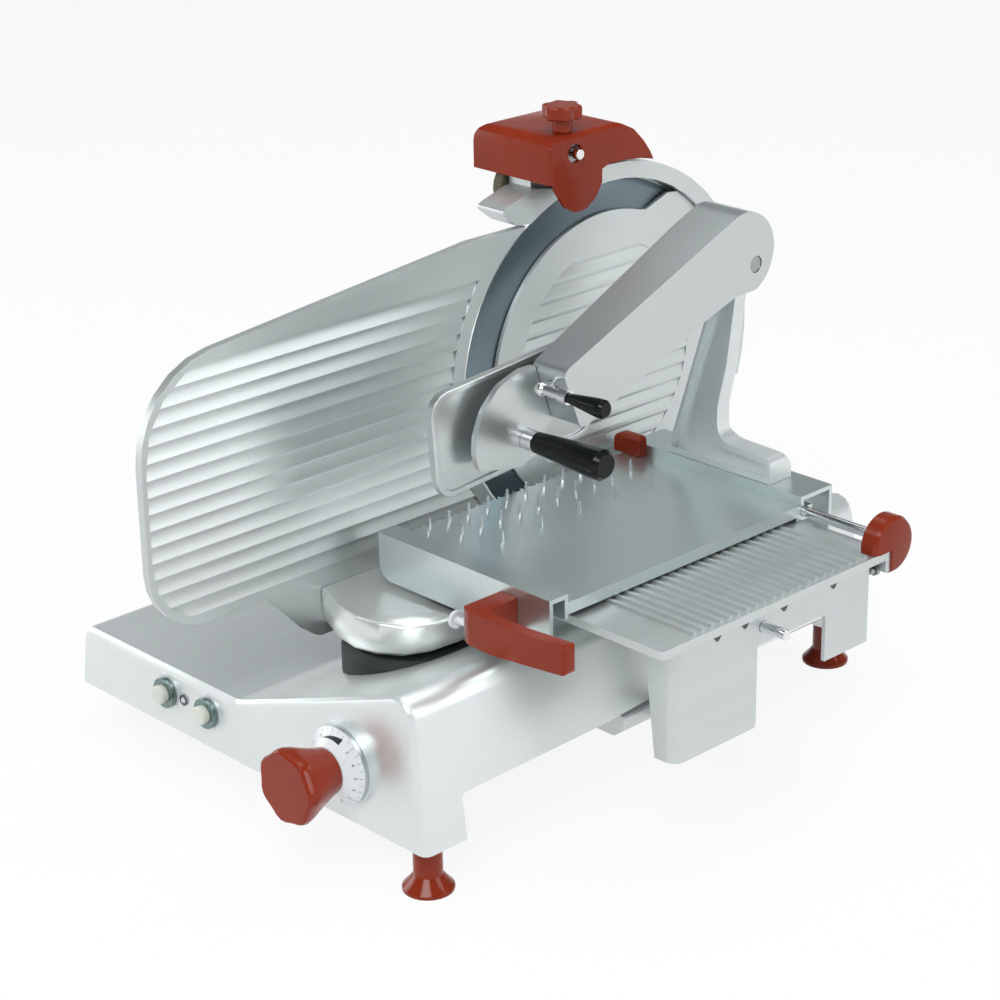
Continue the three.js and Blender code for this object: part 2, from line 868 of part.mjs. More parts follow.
const headLeft = plate.face + fit;
function gaugeHead() {
  const topShares = [
    [0, 0.11], [0.27, 0.03], [0.52, 0], [0.72, 0.03], [0.89, 0.11], [0.98, 0.24],
    [1, 0.4], [0.98, 0.82], [0.9, 0.94], [0.76, 1], [0, 1],
  ];
  const levels = [
    { share: 0, tuck: 0.12, lift: 0.03 },
    { share: 0.16, tuck: 0.05, lift: 0.01 },
    { share: 0.5, tuck: 0.01, lift: 0 },
    { share: 0.93, tuck: 0, lift: 0 },
    { share: 1, tuck: 0.025, lift: 0.01 },
  ];
  const width = head.right - headLeft;
  const length = head.rear - head.front;
  const sections = levels.map(({ share, tuck, lift }) => ({
    level: head.bottom + (head.top - head.bottom) * share,
    points: topShares.map(([u, v]) => new THREE.Vector2(
      headLeft + width * u * (1 - tuck),
      head.front + length * (lift + v * (1 - lift)),
    )),
  }));
  const stem = prism('z', outline([
    [head.stemLeft, head.stemFront, 8 * fit],
    [head.stemRight, head.stemFront, 8 * fit],
    [head.stemRight, head.stemRear, 8 * fit],
    [head.stemLeft, head.stemRear, 8 * fit],
  ]), slideBlock.top + fit, head.bottom + bite);
  return lofted('z', sections).add(stem);
}
add('gauge_head', gaugeHead(), polished);

function gaiterForm() {
  const side = (radius) => {
    const points = [];
    const steps = 12;
    [[gaiter.rearY, 0], [gaiter.frontY, Math.PI]].forEach(([y, start]) => {
      for (let step = 0; step <= steps; step += 1) {
        const angle = start + (Math.PI * step) / steps;
        points.push(new THREE.Vector2(gaiter.x + radius * Math.cos(angle), y + radius * Math.sin(angle)));
      }
    });
    return points;
  };
  const top = head.bottom - fit;
  const skin = lofted('z', [
    { level: top, points: side(gaiter.topRadius) },
    { level: top - gaiter.midDrop, points: side(gaiter.midRadius) },
    { level: top - gaiter.skirtDrop, points: side(gaiter.skirtRadius) },
    { level: base.lowTop, points: side(gaiter.skirtRadius) },
  ]);
  const bore = prism('z', new THREE.Shape(side(gaiter.boreRadius)), base.lowTop - overrun, top + overrun);
  return skin.subtract(bore).subtract(baseClearance);
}
add('rubber_gaiter', gaiterForm(), rubber);

// Gauge plate: ribbed on its meat side and hollowed to run round the blade.
const plateLeft = plate.face - plate.thickness;
const plateShares = [
  [0, 0.166, 0.19], [0, 0.89, 0.27], [0.592, 0.968], [0.831, 1], [1, 1], [1, 0.163],
  [0.608, 0.163], [0.608, 0, 0.03], [0.4, 0, 0.06], [0.355, 0.045, 0.05], [0.277, 0.166, 0.05],
];
const plateFieldShares = [
  [0.011, 0.19, 0.17], [0.011, 0.875, 0.26], [0.59, 0.95], [1, 0.985], [1, 0.19],
];
const bladePlace = [blade.y, blade.z];
function gaugePlate() {
  const spanY = [plate.front, plate.rear];
  const spanZ = [plate.bottom, plate.top];
  const bladeGap = ring.innerRadius - bite;
  const sheet = prism('x', outline(laid(plateShares, spanY, spanZ), 6), plateLeft, plate.face)
    .subtract(rod('x', bladePlace, bladeGap, plateLeft - overrun, plate.face + overrun, 96));
  const hollows = [];
  for (let index = 0; index < plate.ribCount; index += 1) {
    const z = plate.ribTop - plate.ribPitch * index;
    const section = new THREE.Shape([
      new THREE.Vector2(plate.face - plate.ribDepth, z),
      new THREE.Vector2(plate.face, z - plate.ribPitch + plate.ribLand),
      new THREE.Vector2(plate.face + fit, z - plate.ribPitch + plate.ribLand),
      new THREE.Vector2(plate.face + fit, z),
    ]);
    hollows.push(prism('y', section, plate.front - overrun, plate.rear));
  }
  const field = prism('x', outline(laid(plateFieldShares, spanY, spanZ)), plateLeft, plate.face + overrun)
    .subtract(rod('x', bladePlace, bladeGap + plate.ribMargin, plateLeft, plate.face + overrun, 48));
  return sheet.subtract(joined(...hollows).intersect(field));
}
add('gauge_plate', gaugePlate(), satin);

// Blade, the hub it is screwed to, and its bearing.
add('blade', turned('x', bladePlace, [
  [blade.bore, blade.left],
  [blade.radius, blade.left],
  [blade.radius, blade.left + blade.edgeThickness],
  [blade.bevelRadius, blade.right],
  [blade.bore, blade.right],
], 72), steel);
add('blade_shaft', turned('x', bladePlace, [
  [0, shaft.left],
  [shaft.radius, shaft.left],
  [shaft.radius, shaft.hubLeft],
  [shaft.hubRadius, shaft.hubLeft],
  [shaft.hubRadius, blade.left - fit],
  [shaft.radius, blade.left - fit],
  [shaft.radius, blade.right],
  [0, blade.right],
], 24), castIron);
add('blade_bearing', turned('x', bladePlace, [
  [shaft.radius + fit, bearing.left],
  [bearing.radius, bearing.left],
  [bearing.radius, bearing.right],
  [shaft.radius + fit, bearing.right],
], 24), chrome);

// Blade housing: a drum and foot open on its left side, closed by the drive cover.
function housingOutline(inset) {
  const foot0 = base.lowTop + fit + inset;
  const front = blade.y - housing.drumRadius;
  return outline([
    [front + inset + housing.wall, blade.z - inset / 2, 4 * housing.wall],
    [housing.footFront + inset, housing.shoulder - housing.wall, 5 * housing.wall],
    [housing.footFront + inset, foot0, housing.wall],
    [housing.footRear - inset, foot0, housing.wall],
    [housing.footRear - inset, housing.shoulder, 5 * housing.wall],
    [blade.y + housing.drumRadius - inset - housing.wall, blade.z - inset / 2, 4 * housing.wall],
  ]);
}
function housingForm(inset, from, to) {
  const drum = rod('x', bladePlace, housing.drumRadius - inset, from, to, 40);
  return drum.add(prism('x', housingOutline(inset), from, to));
}
function bladeHousing() {
  const outer = housingForm(0, housing.left, housing.right);
  const hollow = housingForm(housing.wall, housing.left - overrun, housing.right - housing.wall);
  const boss = rod('x', bladePlace, housing.bearingBoss, bearing.left, housing.right - bite, 32);
  return outer.subtract(hollow).add(boss).subtract(baseClearance)
    .subtract(rod('x', bladePlace, bearing.radius + fit, bearing.left - overrun, bearing.right + fit, 32))
    .subtract(rod('x', bladePlace, shaft.radius + 4 * fit, bearing.left, housing.right + overrun, 32));
}
add('blade_housing', bladeHousing(), satin);

const coverLeft = housing.left - fit - driveCover.thickness;
const motorPlace = [motor.y, motor.z];
add('drive_cover', housingForm(0, coverLeft, housing.left - fit)
  .subtract(rod('x', motorPlace, motor.shaftRadius + 4 * fit, coverLeft - overrun, housing.left)), satin);

// Motor on the drive cover, inside its own round cover.
function motorForm() {
  const right = coverLeft - fit;
  const left = right - motor.length;
  const pitch = motor.length / (2 * motor.finCount + 1);
  const profile = [[0, left], [motor.radius, left]];
  for (let fin = 0; fin < motor.finCount; fin += 1) {
    const start = left + pitch * (2 * fin + 1);
    profile.push([motor.radius, start], [motor.radius - motor.finDepth, start]);
    profile.push([motor.radius - motor.finDepth, start + pitch], [motor.radius, start + pitch]);
  }
  profile.push([motor.radius, right]);
  profile.push([motor.shaftRadius + fit, right]);
  profile.push([motor.shaftRadius + fit, right - 2 * motor.finDepth]);
  profile.push([0, right - 2 * motor.finDepth]);
  return turned('x', motorPlace, profile);
}
add('motor', motorForm(), castIron);
function motorCover() {
  const right = coverLeft - fit;
  const left = right - motor.coverLength;
  const soft = 4 * motor.coverWall;
  return turned('x', motorPlace, [
    [0, left],
    [motor.coverRadius - soft, left],
    [motor.coverRadius - soft / 4, left + soft / 4],
    [motor.coverRadius, left + soft],
    [motor.coverRadius, right],
    [motor.coverRadius - motor.coverWall, right],
    [motor.coverRadius - motor.coverWall, left + soft],
    [motor.coverRadius - soft, left + motor.coverWall],
    [0, left + motor.coverWall],
  ], 28);
}
add('motor_cover', motorCover(), satin);

// Pulleys and the flat drive belt round them.
function pulleyRim(radius, bore) {
  const { left, right, flange, flangeRise } = pulley;
  return [
    [bore, left],
    [radius + flangeRise, left],
    [radius + flangeRise, left + flange],
    [radius, left + flange],
    [radius, right - flange],
    [radius + flangeRise, right - flange],
    [radius + flangeRise, right],
    [bore, right],
  ];
}
add('blade_pulley', turned('x', bladePlace, pulleyRim(pulley.bladeRadius, shaft.radius + fit), 24), castIron);
const motorPulley = turned('x', motorPlace, pulleyRim(pulley.motorRadius, 0), 20)
  .add(rod('x', motorPlace, motor.shaftRadius, coverLeft - fit - 2 * motor.finDepth + fit, pulley.right + bite));
add('motor_pulley', motorPulley, castIron);

function beltLoop(extra) {
  const from = new THREE.Vector2(...motorPlace);
  const to = new THREE.Vector2(...bladePlace);
  const small = pulley.motorRadius + extra;
  const large = pulley.bladeRadius + extra;
  const line = to.clone().sub(from);
  const heading = line.angle();
  const lean = Math.acos((small - large) / line.length());
  const points = [];
  const steps = 24;
  for (let step = 0; step <= steps; step += 1) {
    const angle = heading + lean + ((2 * Math.PI - 2 * lean) * step) / steps;
    points.push(new THREE.Vector2(small * Math.cos(angle), small * Math.sin(angle)).add(from));
  }
  for (let step = 0; step <= steps; step += 1) {
    const angle = heading - lean + (2 * lean * step) / steps;
    points.push(new THREE.Vector2(large * Math.cos(angle), large * Math.sin(angle)).add(to));
  }
  return new THREE.Shape(points);
}
const beltLeft = pulley.left + pulley.flange + belt.sideGap;
const beltRight = pulley.right - pulley.flange - belt.sideGap;
add('drive_belt', prism('x', beltLoop(fit + belt.thickness), beltLeft, beltRight)
  .subtract(prism('x', beltLoop(fit), beltLeft - overrun, beltRight + overrun)), rubber);

// Ring guard round the blade's back, and the ribbed cover over its face.
function sector(inner, outer, startAngle, endAngle, from, to) {
  const steps = Math.ceil((startAngle - endAngle) / 7.5);
  const points = [];
  for (let step = 0; step <= steps; step += 1) {
    const angle = degrees(endAngle + ((startAngle - endAngle) * step) / steps);
    points.push(new THREE.Vector2(blade.y + outer * Math.cos(angle), blade.z + outer * Math.sin(angle)));
  }
  for (let step = steps; step >= 0; step -= 1) {
    const angle = degrees(endAngle + ((startAngle - endAngle) * step) / steps);
    points.push(new THREE.Vector2(blade.y + inner * Math.cos(angle), blade.z + inner * Math.sin(angle)));
  }
  return prism('x', new THREE.Shape(points), from, to);
}
const { innerRadius, outerRadius, startAngle, endAngle } = ring;
add('ring_guard', joined(
  sector(innerRadius, outerRadius, startAngle, endAngle, ring.left, ring.right),
  sector(ring.plateInner, innerRadius + bite, startAngle, endAngle, ring.left, ring.left + ring.plateThickness),
  sector(innerRadius, outerRadius, startAngle, ring.lipEndAngle, ring.right - bite, ring.lipRight),
), satin);

function bladeCoverForm() {
  const { radius, rearRadius, openStart, openEnd, blendAngle } = bladeCover;
  const ease = (share) => share * share * (3 - 2 * share);
  const points = [];
  const stepAngle = 4;
  for (let angle = 0; angle < 360; angle += stepAngle) {
    const opening = THREE.MathUtils.clamp((angle - openStart + blendAngle) / blendAngle, 0, 1);
    const closing = THREE.MathUtils.clamp((angle - openEnd) / blendAngle, 0, 1);
    const reach = rearRadius - (rearRadius - radius) * ease(opening) * (1 - ease(closing));
    const turn = degrees(angle);
    points.push(new THREE.Vector2(blade.y + reach * Math.cos(turn), blade.z + reach * Math.sin(turn)));
  }
  const right = bladeCover.left + bladeCover.thickness;
  const sheet = prism('x', new THREE.Shape(points), bladeCover.left, right);
  const hollows = [];
  for (let index = 0; index < bladeCover.ribCount; index += 1) {
    const z = bladeCover.ribTop - bladeCover.ribPitch * index;
    hollows.push(prism('y', new THREE.Shape([
      new THREE.Vector2(right + fit, z),
      new THREE.Vector2(right, z),
      new THREE.Vector2(right - bladeCover.ribDepth, z - bladeCover.ribLand),
      new THREE.Vector2(right, z - bladeCover.ribPitch + bladeCover.ribLand),
      new THREE.Vector2(right + fit, z - bladeCover.ribPitch + bladeCover.ribLand),
    ]), blade.y - rearRadius, blade.y + rearRadius));
  }
  const field = rod('x', bladePlace, bladeCover.ribRadius, bladeCover.left, right + overrun, 40);
  return sheet.subtract(joined(...hollows).intersect(field));
}
add('blade_cover', bladeCoverForm(), satin);

// Sharpener bracket: a foot and a post on the guard ring, with two stubs for the wheels.
function sharpenerBracket() {
  const { left, right, postLeft, postRight, postFront, postRear, postTop } = bracket;
  const foot0 = prism('x', outline(laid([
    [0, 0.57, 0.1], [0.26, 0.08], [0.55, 0], [0.95, 0.4], [1, 0.8], [0.6, 1], [0.48, 0.95], [0.14, 0.71],
  ], [bracket.lugFront, postRear], [bracket.lugBottom, bracket.lugTop])), left, right);
  const post = block(postLeft, postRight, postFront, postRear, bracket.lugTop - bracket.footDepth, postTop);
  const saddle = block(left + fit, right + fit, postRear - overrun / 2, bracket.saddleRear,
    bracket.saddleBottom, bracket.saddleTop);
  const boss = block(postRight - bite, bracket.bossRight, bracket.bossFront, bracket.bossRear,
    bracket.bossBottom, postTop);
  const inner = rod('x', bladePlace, innerRadius + fit, postLeft - overrun, right + overrun, 96);
  const outer = rod('x', bladePlace, outerRadius + fit, postLeft - overrun, right + overrun, 96)
    .intersect(block(postLeft - overrun, right + overrun, postRear + bite, base.length, 0, postTop));
  return joined(foot0, post, saddle).subtract(inner).subtract(outer)
    .add(boss)
    .add(rod('x', [grinder.y, grinder.z], grinder.stubRadius, grinder.left - 2 * bite, postLeft + bite))
    .add(rod('x', [honer.y, honer.z], grinder.stubRadius, postRight - bite, honer.right + honer.cap))
    .subtract(rod('x', [pin.y, pin.z], pin.radius + fit, pin.left - 3 * pin.radius, postRight + bite))
    .subtract(rod('z', [star.x, star.y], star.screwRadius + fit, bracket.bossBottom - bite, postTop + bite));
}
add('sharpener_bracket', sharpenerBracket(), satin);

const hoodShares = [
  [0, 0], [0, 1, 0.28], [0.66, 1, 0.5], [0.8, 0.78], [0.9, 0.47], [0.965, 0.2], [1, 0],
  [0.86, 0.1], [0.7, 0.155], [0.55, 0.16], [0.422, 0],
];
const hoodHollowShares = [
  [0.03, -0.4], [0.03, 0.907, 0.1], [0.64, 0.907, 0.4], [0.775, 0.68], [0.868, 0.4], [0.93, 0.14], [0.95, -0.4],
];
const hoodLobeShares = [
  [0.49, -0.2], [0.43, -0.5, 0.3], [0.33, -0.7, 0.3], [0.22, -0.71, 0.3], [0.13, -0.54, 0.2],
  [0.037, -0.1], [0.037, 0.12], [0.49, 0.12],
];
function sharpenerHood() {
  const spanY = [hood.front, hood.rear];
  const spanZ = [hood.bottom, hood.top];
  const crown = (inset) => prism('y', outline([
    [hood.left + inset, hood.bottom - 3 * overrun],
    [hood.left + inset, hood.top - inset, hood.cornerRadius - inset],
    [hood.right - inset, hood.top - inset, hood.cornerRadius / 3 - inset],
    [hood.right - inset, hood.bottom - 3 * overrun],
  ]), hood.front - overrun, hood.rear + overrun);
  const body = prism('x', outline(laid(hoodShares, spanY, spanZ)), hood.left, hood.right).intersect(crown(0));
  const hollow = prism('x', outline(laid(hoodHollowShares, spanY, spanZ)), hood.left, hood.right)
    .intersect(crown(hood.wall));
  const lobe = prism('x', outline(laid(hoodLobeShares, spanY, spanZ)), hood.right - hood.wall, hood.right);
  return body.add(lobe).subtract(hollow)
    .subtract(rod('x', [pin.y, pin.z], hood.holeRadius, hood.right - 2 * hood.wall, hood.right + overrun))
    .subtract(rod('z', [star.x, star.y], star.screwRadius + fit, hood.top - 2 * hood.wall, hood.top + overrun));
}
add('sharpener_hood', sharpenerHood(), redBrown);

function sharpeningWheel(place, radius, hub, left, right) {
  const edge = (right - left) / 8;
  return turned('x', place, [
    [grinder.stubRadius + fit, left],
    [hub, left],
    [radius - edge, left],
    [radius, left + edge],
    [radius, right - edge],
    [radius - edge, right],
    [hub, right],
    [grinder.stubRadius + fit, right],
  ], 20);
}
const grinderPlace = [grinder.y, grinder.z];
add('grinding_wheel', sharpeningWheel(grinderPlace, grinder.radius, grinder.hubRadius,
  grinder.left, grinder.right), stone);
add('honing_wheel', sharpeningWheel([honer.y, honer.z], honer.radius, honer.radius / 2,
  honer.left, honer.right), stone);

function sharpenerKnob() {
  const foot0 = hood.top + fit;
  const head0 = foot0 + star.stemHeight;
  const sides = star.lobes * 6;
  const levelShares = [[0, 0.9], [0.12, 1], [0.88, 1], [1, 0.9]];
  const sections = levelShares.map(([level, spread]) => {
    const points = [];
    for (let side = 0; side < sides; side += 1) {
      const angle = (2 * Math.PI * side) / sides;
      const radius = star.radius * spread * (1 - star.lobeShare * (1 + Math.cos(star.lobes * angle)));
      points.push(new THREE.Vector2(star.x + radius * Math.cos(angle), star.y + radius * Math.sin(angle)));
    }
    return { level: head0 + star.height * level, points };
  });
  const stem = rod('z', [star.x, star.y], star.stemRadius, foot0, head0 + bite);
  const screw = rod('z', [star.x, star.y], star.screwRadius, hood.top - star.screwLength, foot0 + bite, 12);
  return joined(lofted('z', sections), stem, screw);
}
add('sharpener_knob', sharpenerKnob(), redBrown);
add('sharpener_pin', turned('x', [pin.y, pin.z], [
  [0, pin.left],
  [pin.radius, pin.left],
  [pin.radius, pin.right - pin.headLength],
  [pin.headRadius, pin.right - pin.headLength],
  [pin.headRadius, pin.right - bite],
  [pin.headRadius - bite, pin.right],
  [0, pin.right],
], 16), chrome);

// Carriage casting: the ribbed plate, its rear flange and the apron with its two legs.
function apronForm() {
  const top = carriage.top - carriage.thickness;
  const plan = (inset) => outline([
    [arm.columnRight, apron.front + inset],
    [apron.face - inset, apron.front + inset, apron.cornerRadius - inset],
    [apron.face - inset, apron.rearLegRear - inset],
    [arm.columnRight, apron.rearLegRear - inset],
  ]);
  const shell = prism('z', plan(0), apron.legBottom, top + bite)
    .subtract(prism('z', plan(apron.wall), apron.legBottom - overrun, top))
    .add(block(arm.columnRight, apron.face - bite, apron.legRear - apron.wall, apron.legRear,
      apron.legBottom, top + bite));
  const side = prism('x', outline([
    [apron.front, apron.legBottom],
    [apron.front, top + bite],
    [apron.rearLegRear, top + bite],
    [apron.rearLegRear, apron.rearLegBottom],
    [apron.rearLegFront, apron.rearLegBottom],
    [apron.rearLegFront, apron.panelBottom, apron.wall],
    [apron.legRear, apron.panelBottom, apron.wall],
    [apron.legRear, apron.legBottom, apron.wall],
  ]), arm.columnLeft, apron.face + bite);
  const front = prism('y', outline([
    [apron.legTopLeft, top + bite],
    [apron.legBottomLeft, apron.legBottom],
    [apron.face, apron.legBottom],
    [apron.face, top + bite],
  ]), apron.front, apron.rearLegRear);
  return shell.intersect(side).intersect(front);
}

function carriageCasting() {
  const under = carriage.top - carriage.thickness;
  const deck = prism('z', outline([
    [carriage.left, carriage.front, apron.wall],
    [carriage.right, carriage.front, apron.wall],
    [carriage.right, carriage.rear],
    [carriage.left, carriage.rear],
  ]), under, carriage.top);
  const ribs = [];
  for (let index = 0; index < carriage.ribCount; index += 1) {
    const y = carriage.ribFront + carriage.ribPitch * index;
    const slope = carriage.ribWidth / 4;
    ribs.push(prism('x', new THREE.Shape([
      new THREE.Vector2(y, carriage.top - bite),
      new THREE.Vector2(y + carriage.ribWidth, carriage.top - bite),
      new THREE.Vector2(y + carriage.ribWidth - slope, carriage.ribTop),
      new THREE.Vector2(y + slope, carriage.ribTop),
    ]), carriage.left, carriage.right - carriage.ribRightMargin));
  }
  const flange = block(arm.columnLeft, carriage.right, carriage.rear - carriage.flange, carriage.rear,
    under - overrun, under + bite);
  const boss = rod('x', [lockPin.y, lockPin.z], lockPin.bossRadius, lockPin.bossLeft,
    apron.face - bite);
  let form = joined(deck, ...ribs, flange, apronForm(), boss);
  notchPlaces.forEach((y) => {
    const half = apron.notchWidth / 2;
    form = form.subtract(prism('x', new THREE.Shape([
      new THREE.Vector2(y - half, under),
      new THREE.Vector2(y, under - apron.notchDrop),
      new THREE.Vector2(y + half, under),
    ]), apron.face - 2 * apron.wall, apron.face + overrun));
  });
  return form.subtract(rod('x', [lockPin.y, lockPin.z], lockPin.radius + fit,
    lockPin.bossLeft - overrun, apron.face + overrun));
}
add('carriage_casting', carriageCasting(), satin);

// Carriage arm: the block on the slide rod, a link under the base's edge, and the column up.
const rodPlace = [slideRod.x, slideRod.z];
function carriageArm() {
  const body = prism('y', outline([
    [arm.left, arm.bottom, arm.edge],
    [arm.right - 2 * arm.edge, arm.bottom],
    [arm.right, arm.linkBottom, arm.edge],
    [arm.right, arm.top, arm.edge / 2],
    [arm.left, arm.top, arm.edge],
  ]), arm.front, arm.rear)
    .subtract(rod('y', rodPlace, slideRod.radius + 2 * fit, arm.front - overrun, arm.rear + overrun));
  const link = block(arm.right - bite, arm.columnRight, arm.linkFront, arm.linkRear, arm.linkBottom, arm.top);
  const column = block(arm.columnLeft, arm.columnRight, arm.linkFront, arm.linkRear,
    arm.linkBottom, carriage.top - carriage.thickness - fit);
  const shoe = block(arm.left, arm.left + arm.shoeWidth, arm.front, arm.rear, arm.top - bite, arm.shoeTop);
  let form = joined(body, link, column, shoe);
  [[arm.front - overrun, arm.front + bushing.length + fit],
    [arm.rear - bushing.length - fit, arm.rear + overrun]].forEach(([from, to]) => {
    form = form.subtract(rod('y', rodPlace, bushing.radius + fit, from, to));
  });
  return form;
}
add('carriage_arm', carriageArm(), satin);

function bushingForm(front) {
  return turned('y', rodPlace, [
    [slideRod.radius + fit, front],
    [bushing.radius, front],
    [bushing.radius, front + bushing.length],
    [slideRod.radius + fit, front + bushing.length],
  ]);
}
add('slide_bushing_front', bushingForm(arm.front), bronze);
add('slide_bushing_rear', bushingForm(arm.rear - bushing.length), bronze);
add('slide_rod', rod('y', rodPlace, slideRod.radius, base.wall + 3 * fit,
  base.length - 2 * base.wall - fit), chrome);
add('guide_rail', block(rail.left, rail.right, rodLug.front + fit, rodLug.rear - fit,
  rail.bottom, rail.top), chrome);

add('lock_pin', turned('x', [lockPin.y, lockPin.z], [
  [0, lockPin.left],
  [lockPin.collarRadius, lockPin.left],
  [lockPin.collarRadius, lockPin.left + lockPin.collarLength],
  [lockPin.radius, lockPin.left + lockPin.collarLength],
  [lockPin.radius, lockPin.right - bite],
  [lockPin.radius - bite, lockPin.right],
  [0, lockPin.right],
]), chrome);

const guidePlace = [guideRod.y, guideRod.z];
add('guide_rod', rod('x', guidePlace, guideRod.radius, guideRod.left, guideRod.right), chrome);
function endCapForm() {
  const soft = (endCap.right - endCap.left) / 4;
  const cap0 = turned('x', [endCap.y, endCap.z], [
    [0, endCap.left],
    [endCap.radius, endCap.left],
    [endCap.radius, endCap.right - soft],
    [endCap.radius - soft / 2, endCap.right - soft / 4],
    [endCap.radius - 1.5 * soft, endCap.right],
    [0, endCap.right],
  ], 36);
  return cap0
    .subtract(block(endCap.left - overrun, endCap.right + overrun, carriage.front, carriage.rear + fit,
      arm.top, carriage.top + fit))
    .subtract(rod('x', guidePlace, guideRod.radius + fit, endCap.left - overrun, guideRod.right + 2 * fit));
}
add('end_cap', endCapForm(), redBrown);

// Meat table: deck, front channel, rear rail, runners, comb edge and the boss on the guide rod.
function meatTable() {
  const { left, right, front, rear, deckTop, deckThickness, railTop, skirtBottom, wall } = table;
  const deckBottom = deckTop - deckThickness;
  const lipRight = right + table.lipWidth;
  const channelRear = front + table.frontRail;
  const railFront = rear - table.rearRail;
  const deck = block(left, right + bite, channelRear - wall, railFront + wall, deckBottom, deckTop);
  const lip = block(right, lipRight, channelRear - wall, railFront + wall, table.lipBottom, table.lipTop);
  const channelFace = prism('y', outline([
    [left, railTop],
    [left, skirtBottom, table.cornerRadius],
    [lipRight, skirtBottom],
    [lipRight, railTop],
  ]), front, channelRear);
  const channel = channelFace
    .subtract(block(left + wall, lipRight + overrun, front + wall, channelRear - wall,
      skirtBottom - overrun, railTop - wall))
    .subtract(block(left + wall, lipRight + overrun, front + wall, channelRear + overrun,
      skirtBottom - overrun, table.innerSkirt))
    .subtract(block(left - overrun, left + wall + bite, front + wall, channelRear + overrun,
      skirtBottom - overrun, table.innerSkirt));
  const railShell = block(left + wall, lipRight, railFront, rear, skirtBottom, railTop)
    .subtract(block(left, lipRight + overrun, railFront + wall, rear - wall,
      skirtBottom - overrun, railTop - wall))
    .subtract(block(left, lipRight + overrun, railFront - overrun, rear - wall,
      skirtBottom - overrun, deckBottom));
  const boss = block(left + wall, lipRight, guideRod.y - table.blockDepth / 2,
    guideRod.y + table.blockDepth / 2, guideRod.z - 1.7 * guideRod.radius, deckTop);
  const runners = [table.frontRunner, table.rearRunner].map((y) => {
    return block(left + 2 * wall, right - bite, y, y + table.runnerWidth, carriage.ribTop + fit,
      deckBottom + bite);
  });
  const pieces = [deck, lip, channel, railShell, boss, ...runners];
  for (let index = 0; index < comb.count; index += 1) {
    const y = comb.front + comb.pitch * index;
    pieces.push(prism('z', new THREE.Shape([
      new THREE.Vector2(left + bite, y),
      new THREE.Vector2(left + bite, y + comb.pitch * comb.widthShare),
      new THREE.Vector2(left - comb.reach, y + comb.pitch * comb.widthShare / 2),
    ]), deckBottom, deckTop - comb.drop));
  }
  spikeRows.forEach(({ x, front: firstY, count, step }) => {
    for (let index = 0; index < count; index += 1) {
      pieces.push(turned('z', [x, firstY + step * index], [
        [0, deckTop - bite],
        [spike.radius, deckTop - bite],
        [spike.tipRadius, deckTop + spike.height],
        [0, deckTop + spike.height],
      ], 6));
    }
  });
  return joined(...pieces).subtract(rod('x', guidePlace, guideRod.radius + fit,
    left - overrun, lipRight + overrun));
}
add('meat_table', meatTable(), satin);

const railEndCap = prism('x', outline([
  [table.rear - table.rearRail - railCap.depth, table.deckTop + fit],
  [table.rear - table.rearRail - fit, table.deckTop + fit],
  [table.rear - table.rearRail - fit, railCap.top],
  [table.rear - table.rearRail - railCap.depth, railCap.top, railCap.radius / 2],
]), railCap.left, railCap.right).intersect(prism('y', outline([
  [railCap.left, table.deckTop],
  [railCap.left, railCap.top, railCap.radius],
  [railCap.right, railCap.top, railCap.radius / 3],
  [railCap.right, table.deckTop],
]), table.rear - table.rearRail - 2 * railCap.depth, table.rear));
add('rail_end_cap', railEndCap, redBrown);

// Table handle with its clamp screw.
const handleTopShares = [
  [0, 1], [0, 0.12, 0.24], [0.096, 0, 0.24], [1, 0, 0.1], [1, 0.28, 0.08], [0.5, 0.24, 0.3],
  [0.25, 0.26, 0.3], [0.18, 0.42, 0.12], [0.175, 1],
];
const handleSideShares = [
  [0, 0.04, 0.12], [0.3, 0, 0.3], [1, 0.28, 0.12], [1, 1, 0.1], [0.6, 0.92], [0.163, 0.9], [0, 0.9, 0.08],
];
const screwPlace = [clampScrew.y, clampScrew.z];
function tableHandle() {
  const spanX = [handle.left, handle.right];
  return prism('z', outline(laid(handleTopShares, spanX, [handle.front, table.front - fit])),
    handle.bottom - overrun, handle.tipTop + overrun)
    .intersect(prism('y', outline(laid(handleSideShares, spanX, [handle.bottom, handle.tipTop])),
      handle.front - overrun, table.front))
    .subtract(rod('x', screwPlace, clampScrew.radius + fit, handle.left - overrun,
      handle.left + clampScrew.depth + bite));
}
add('table_handle', tableHandle(), redBrown);
const screwLeft = handle.left - clampScrew.reach;
add('clamp_screw', turned('x', screwPlace, [
  [0, screwLeft - clampScrew.discThickness],
  [clampScrew.discRadius - bite, screwLeft - clampScrew.discThickness],
  [clampScrew.discRadius, screwLeft - clampScrew.discThickness + bite],
  [clampScrew.discRadius, screwLeft],
  [clampScrew.radius, screwLeft],
  [clampScrew.radius, handle.left + clampScrew.depth],
  [0, handle.left + clampScrew.depth],
], 24), white);

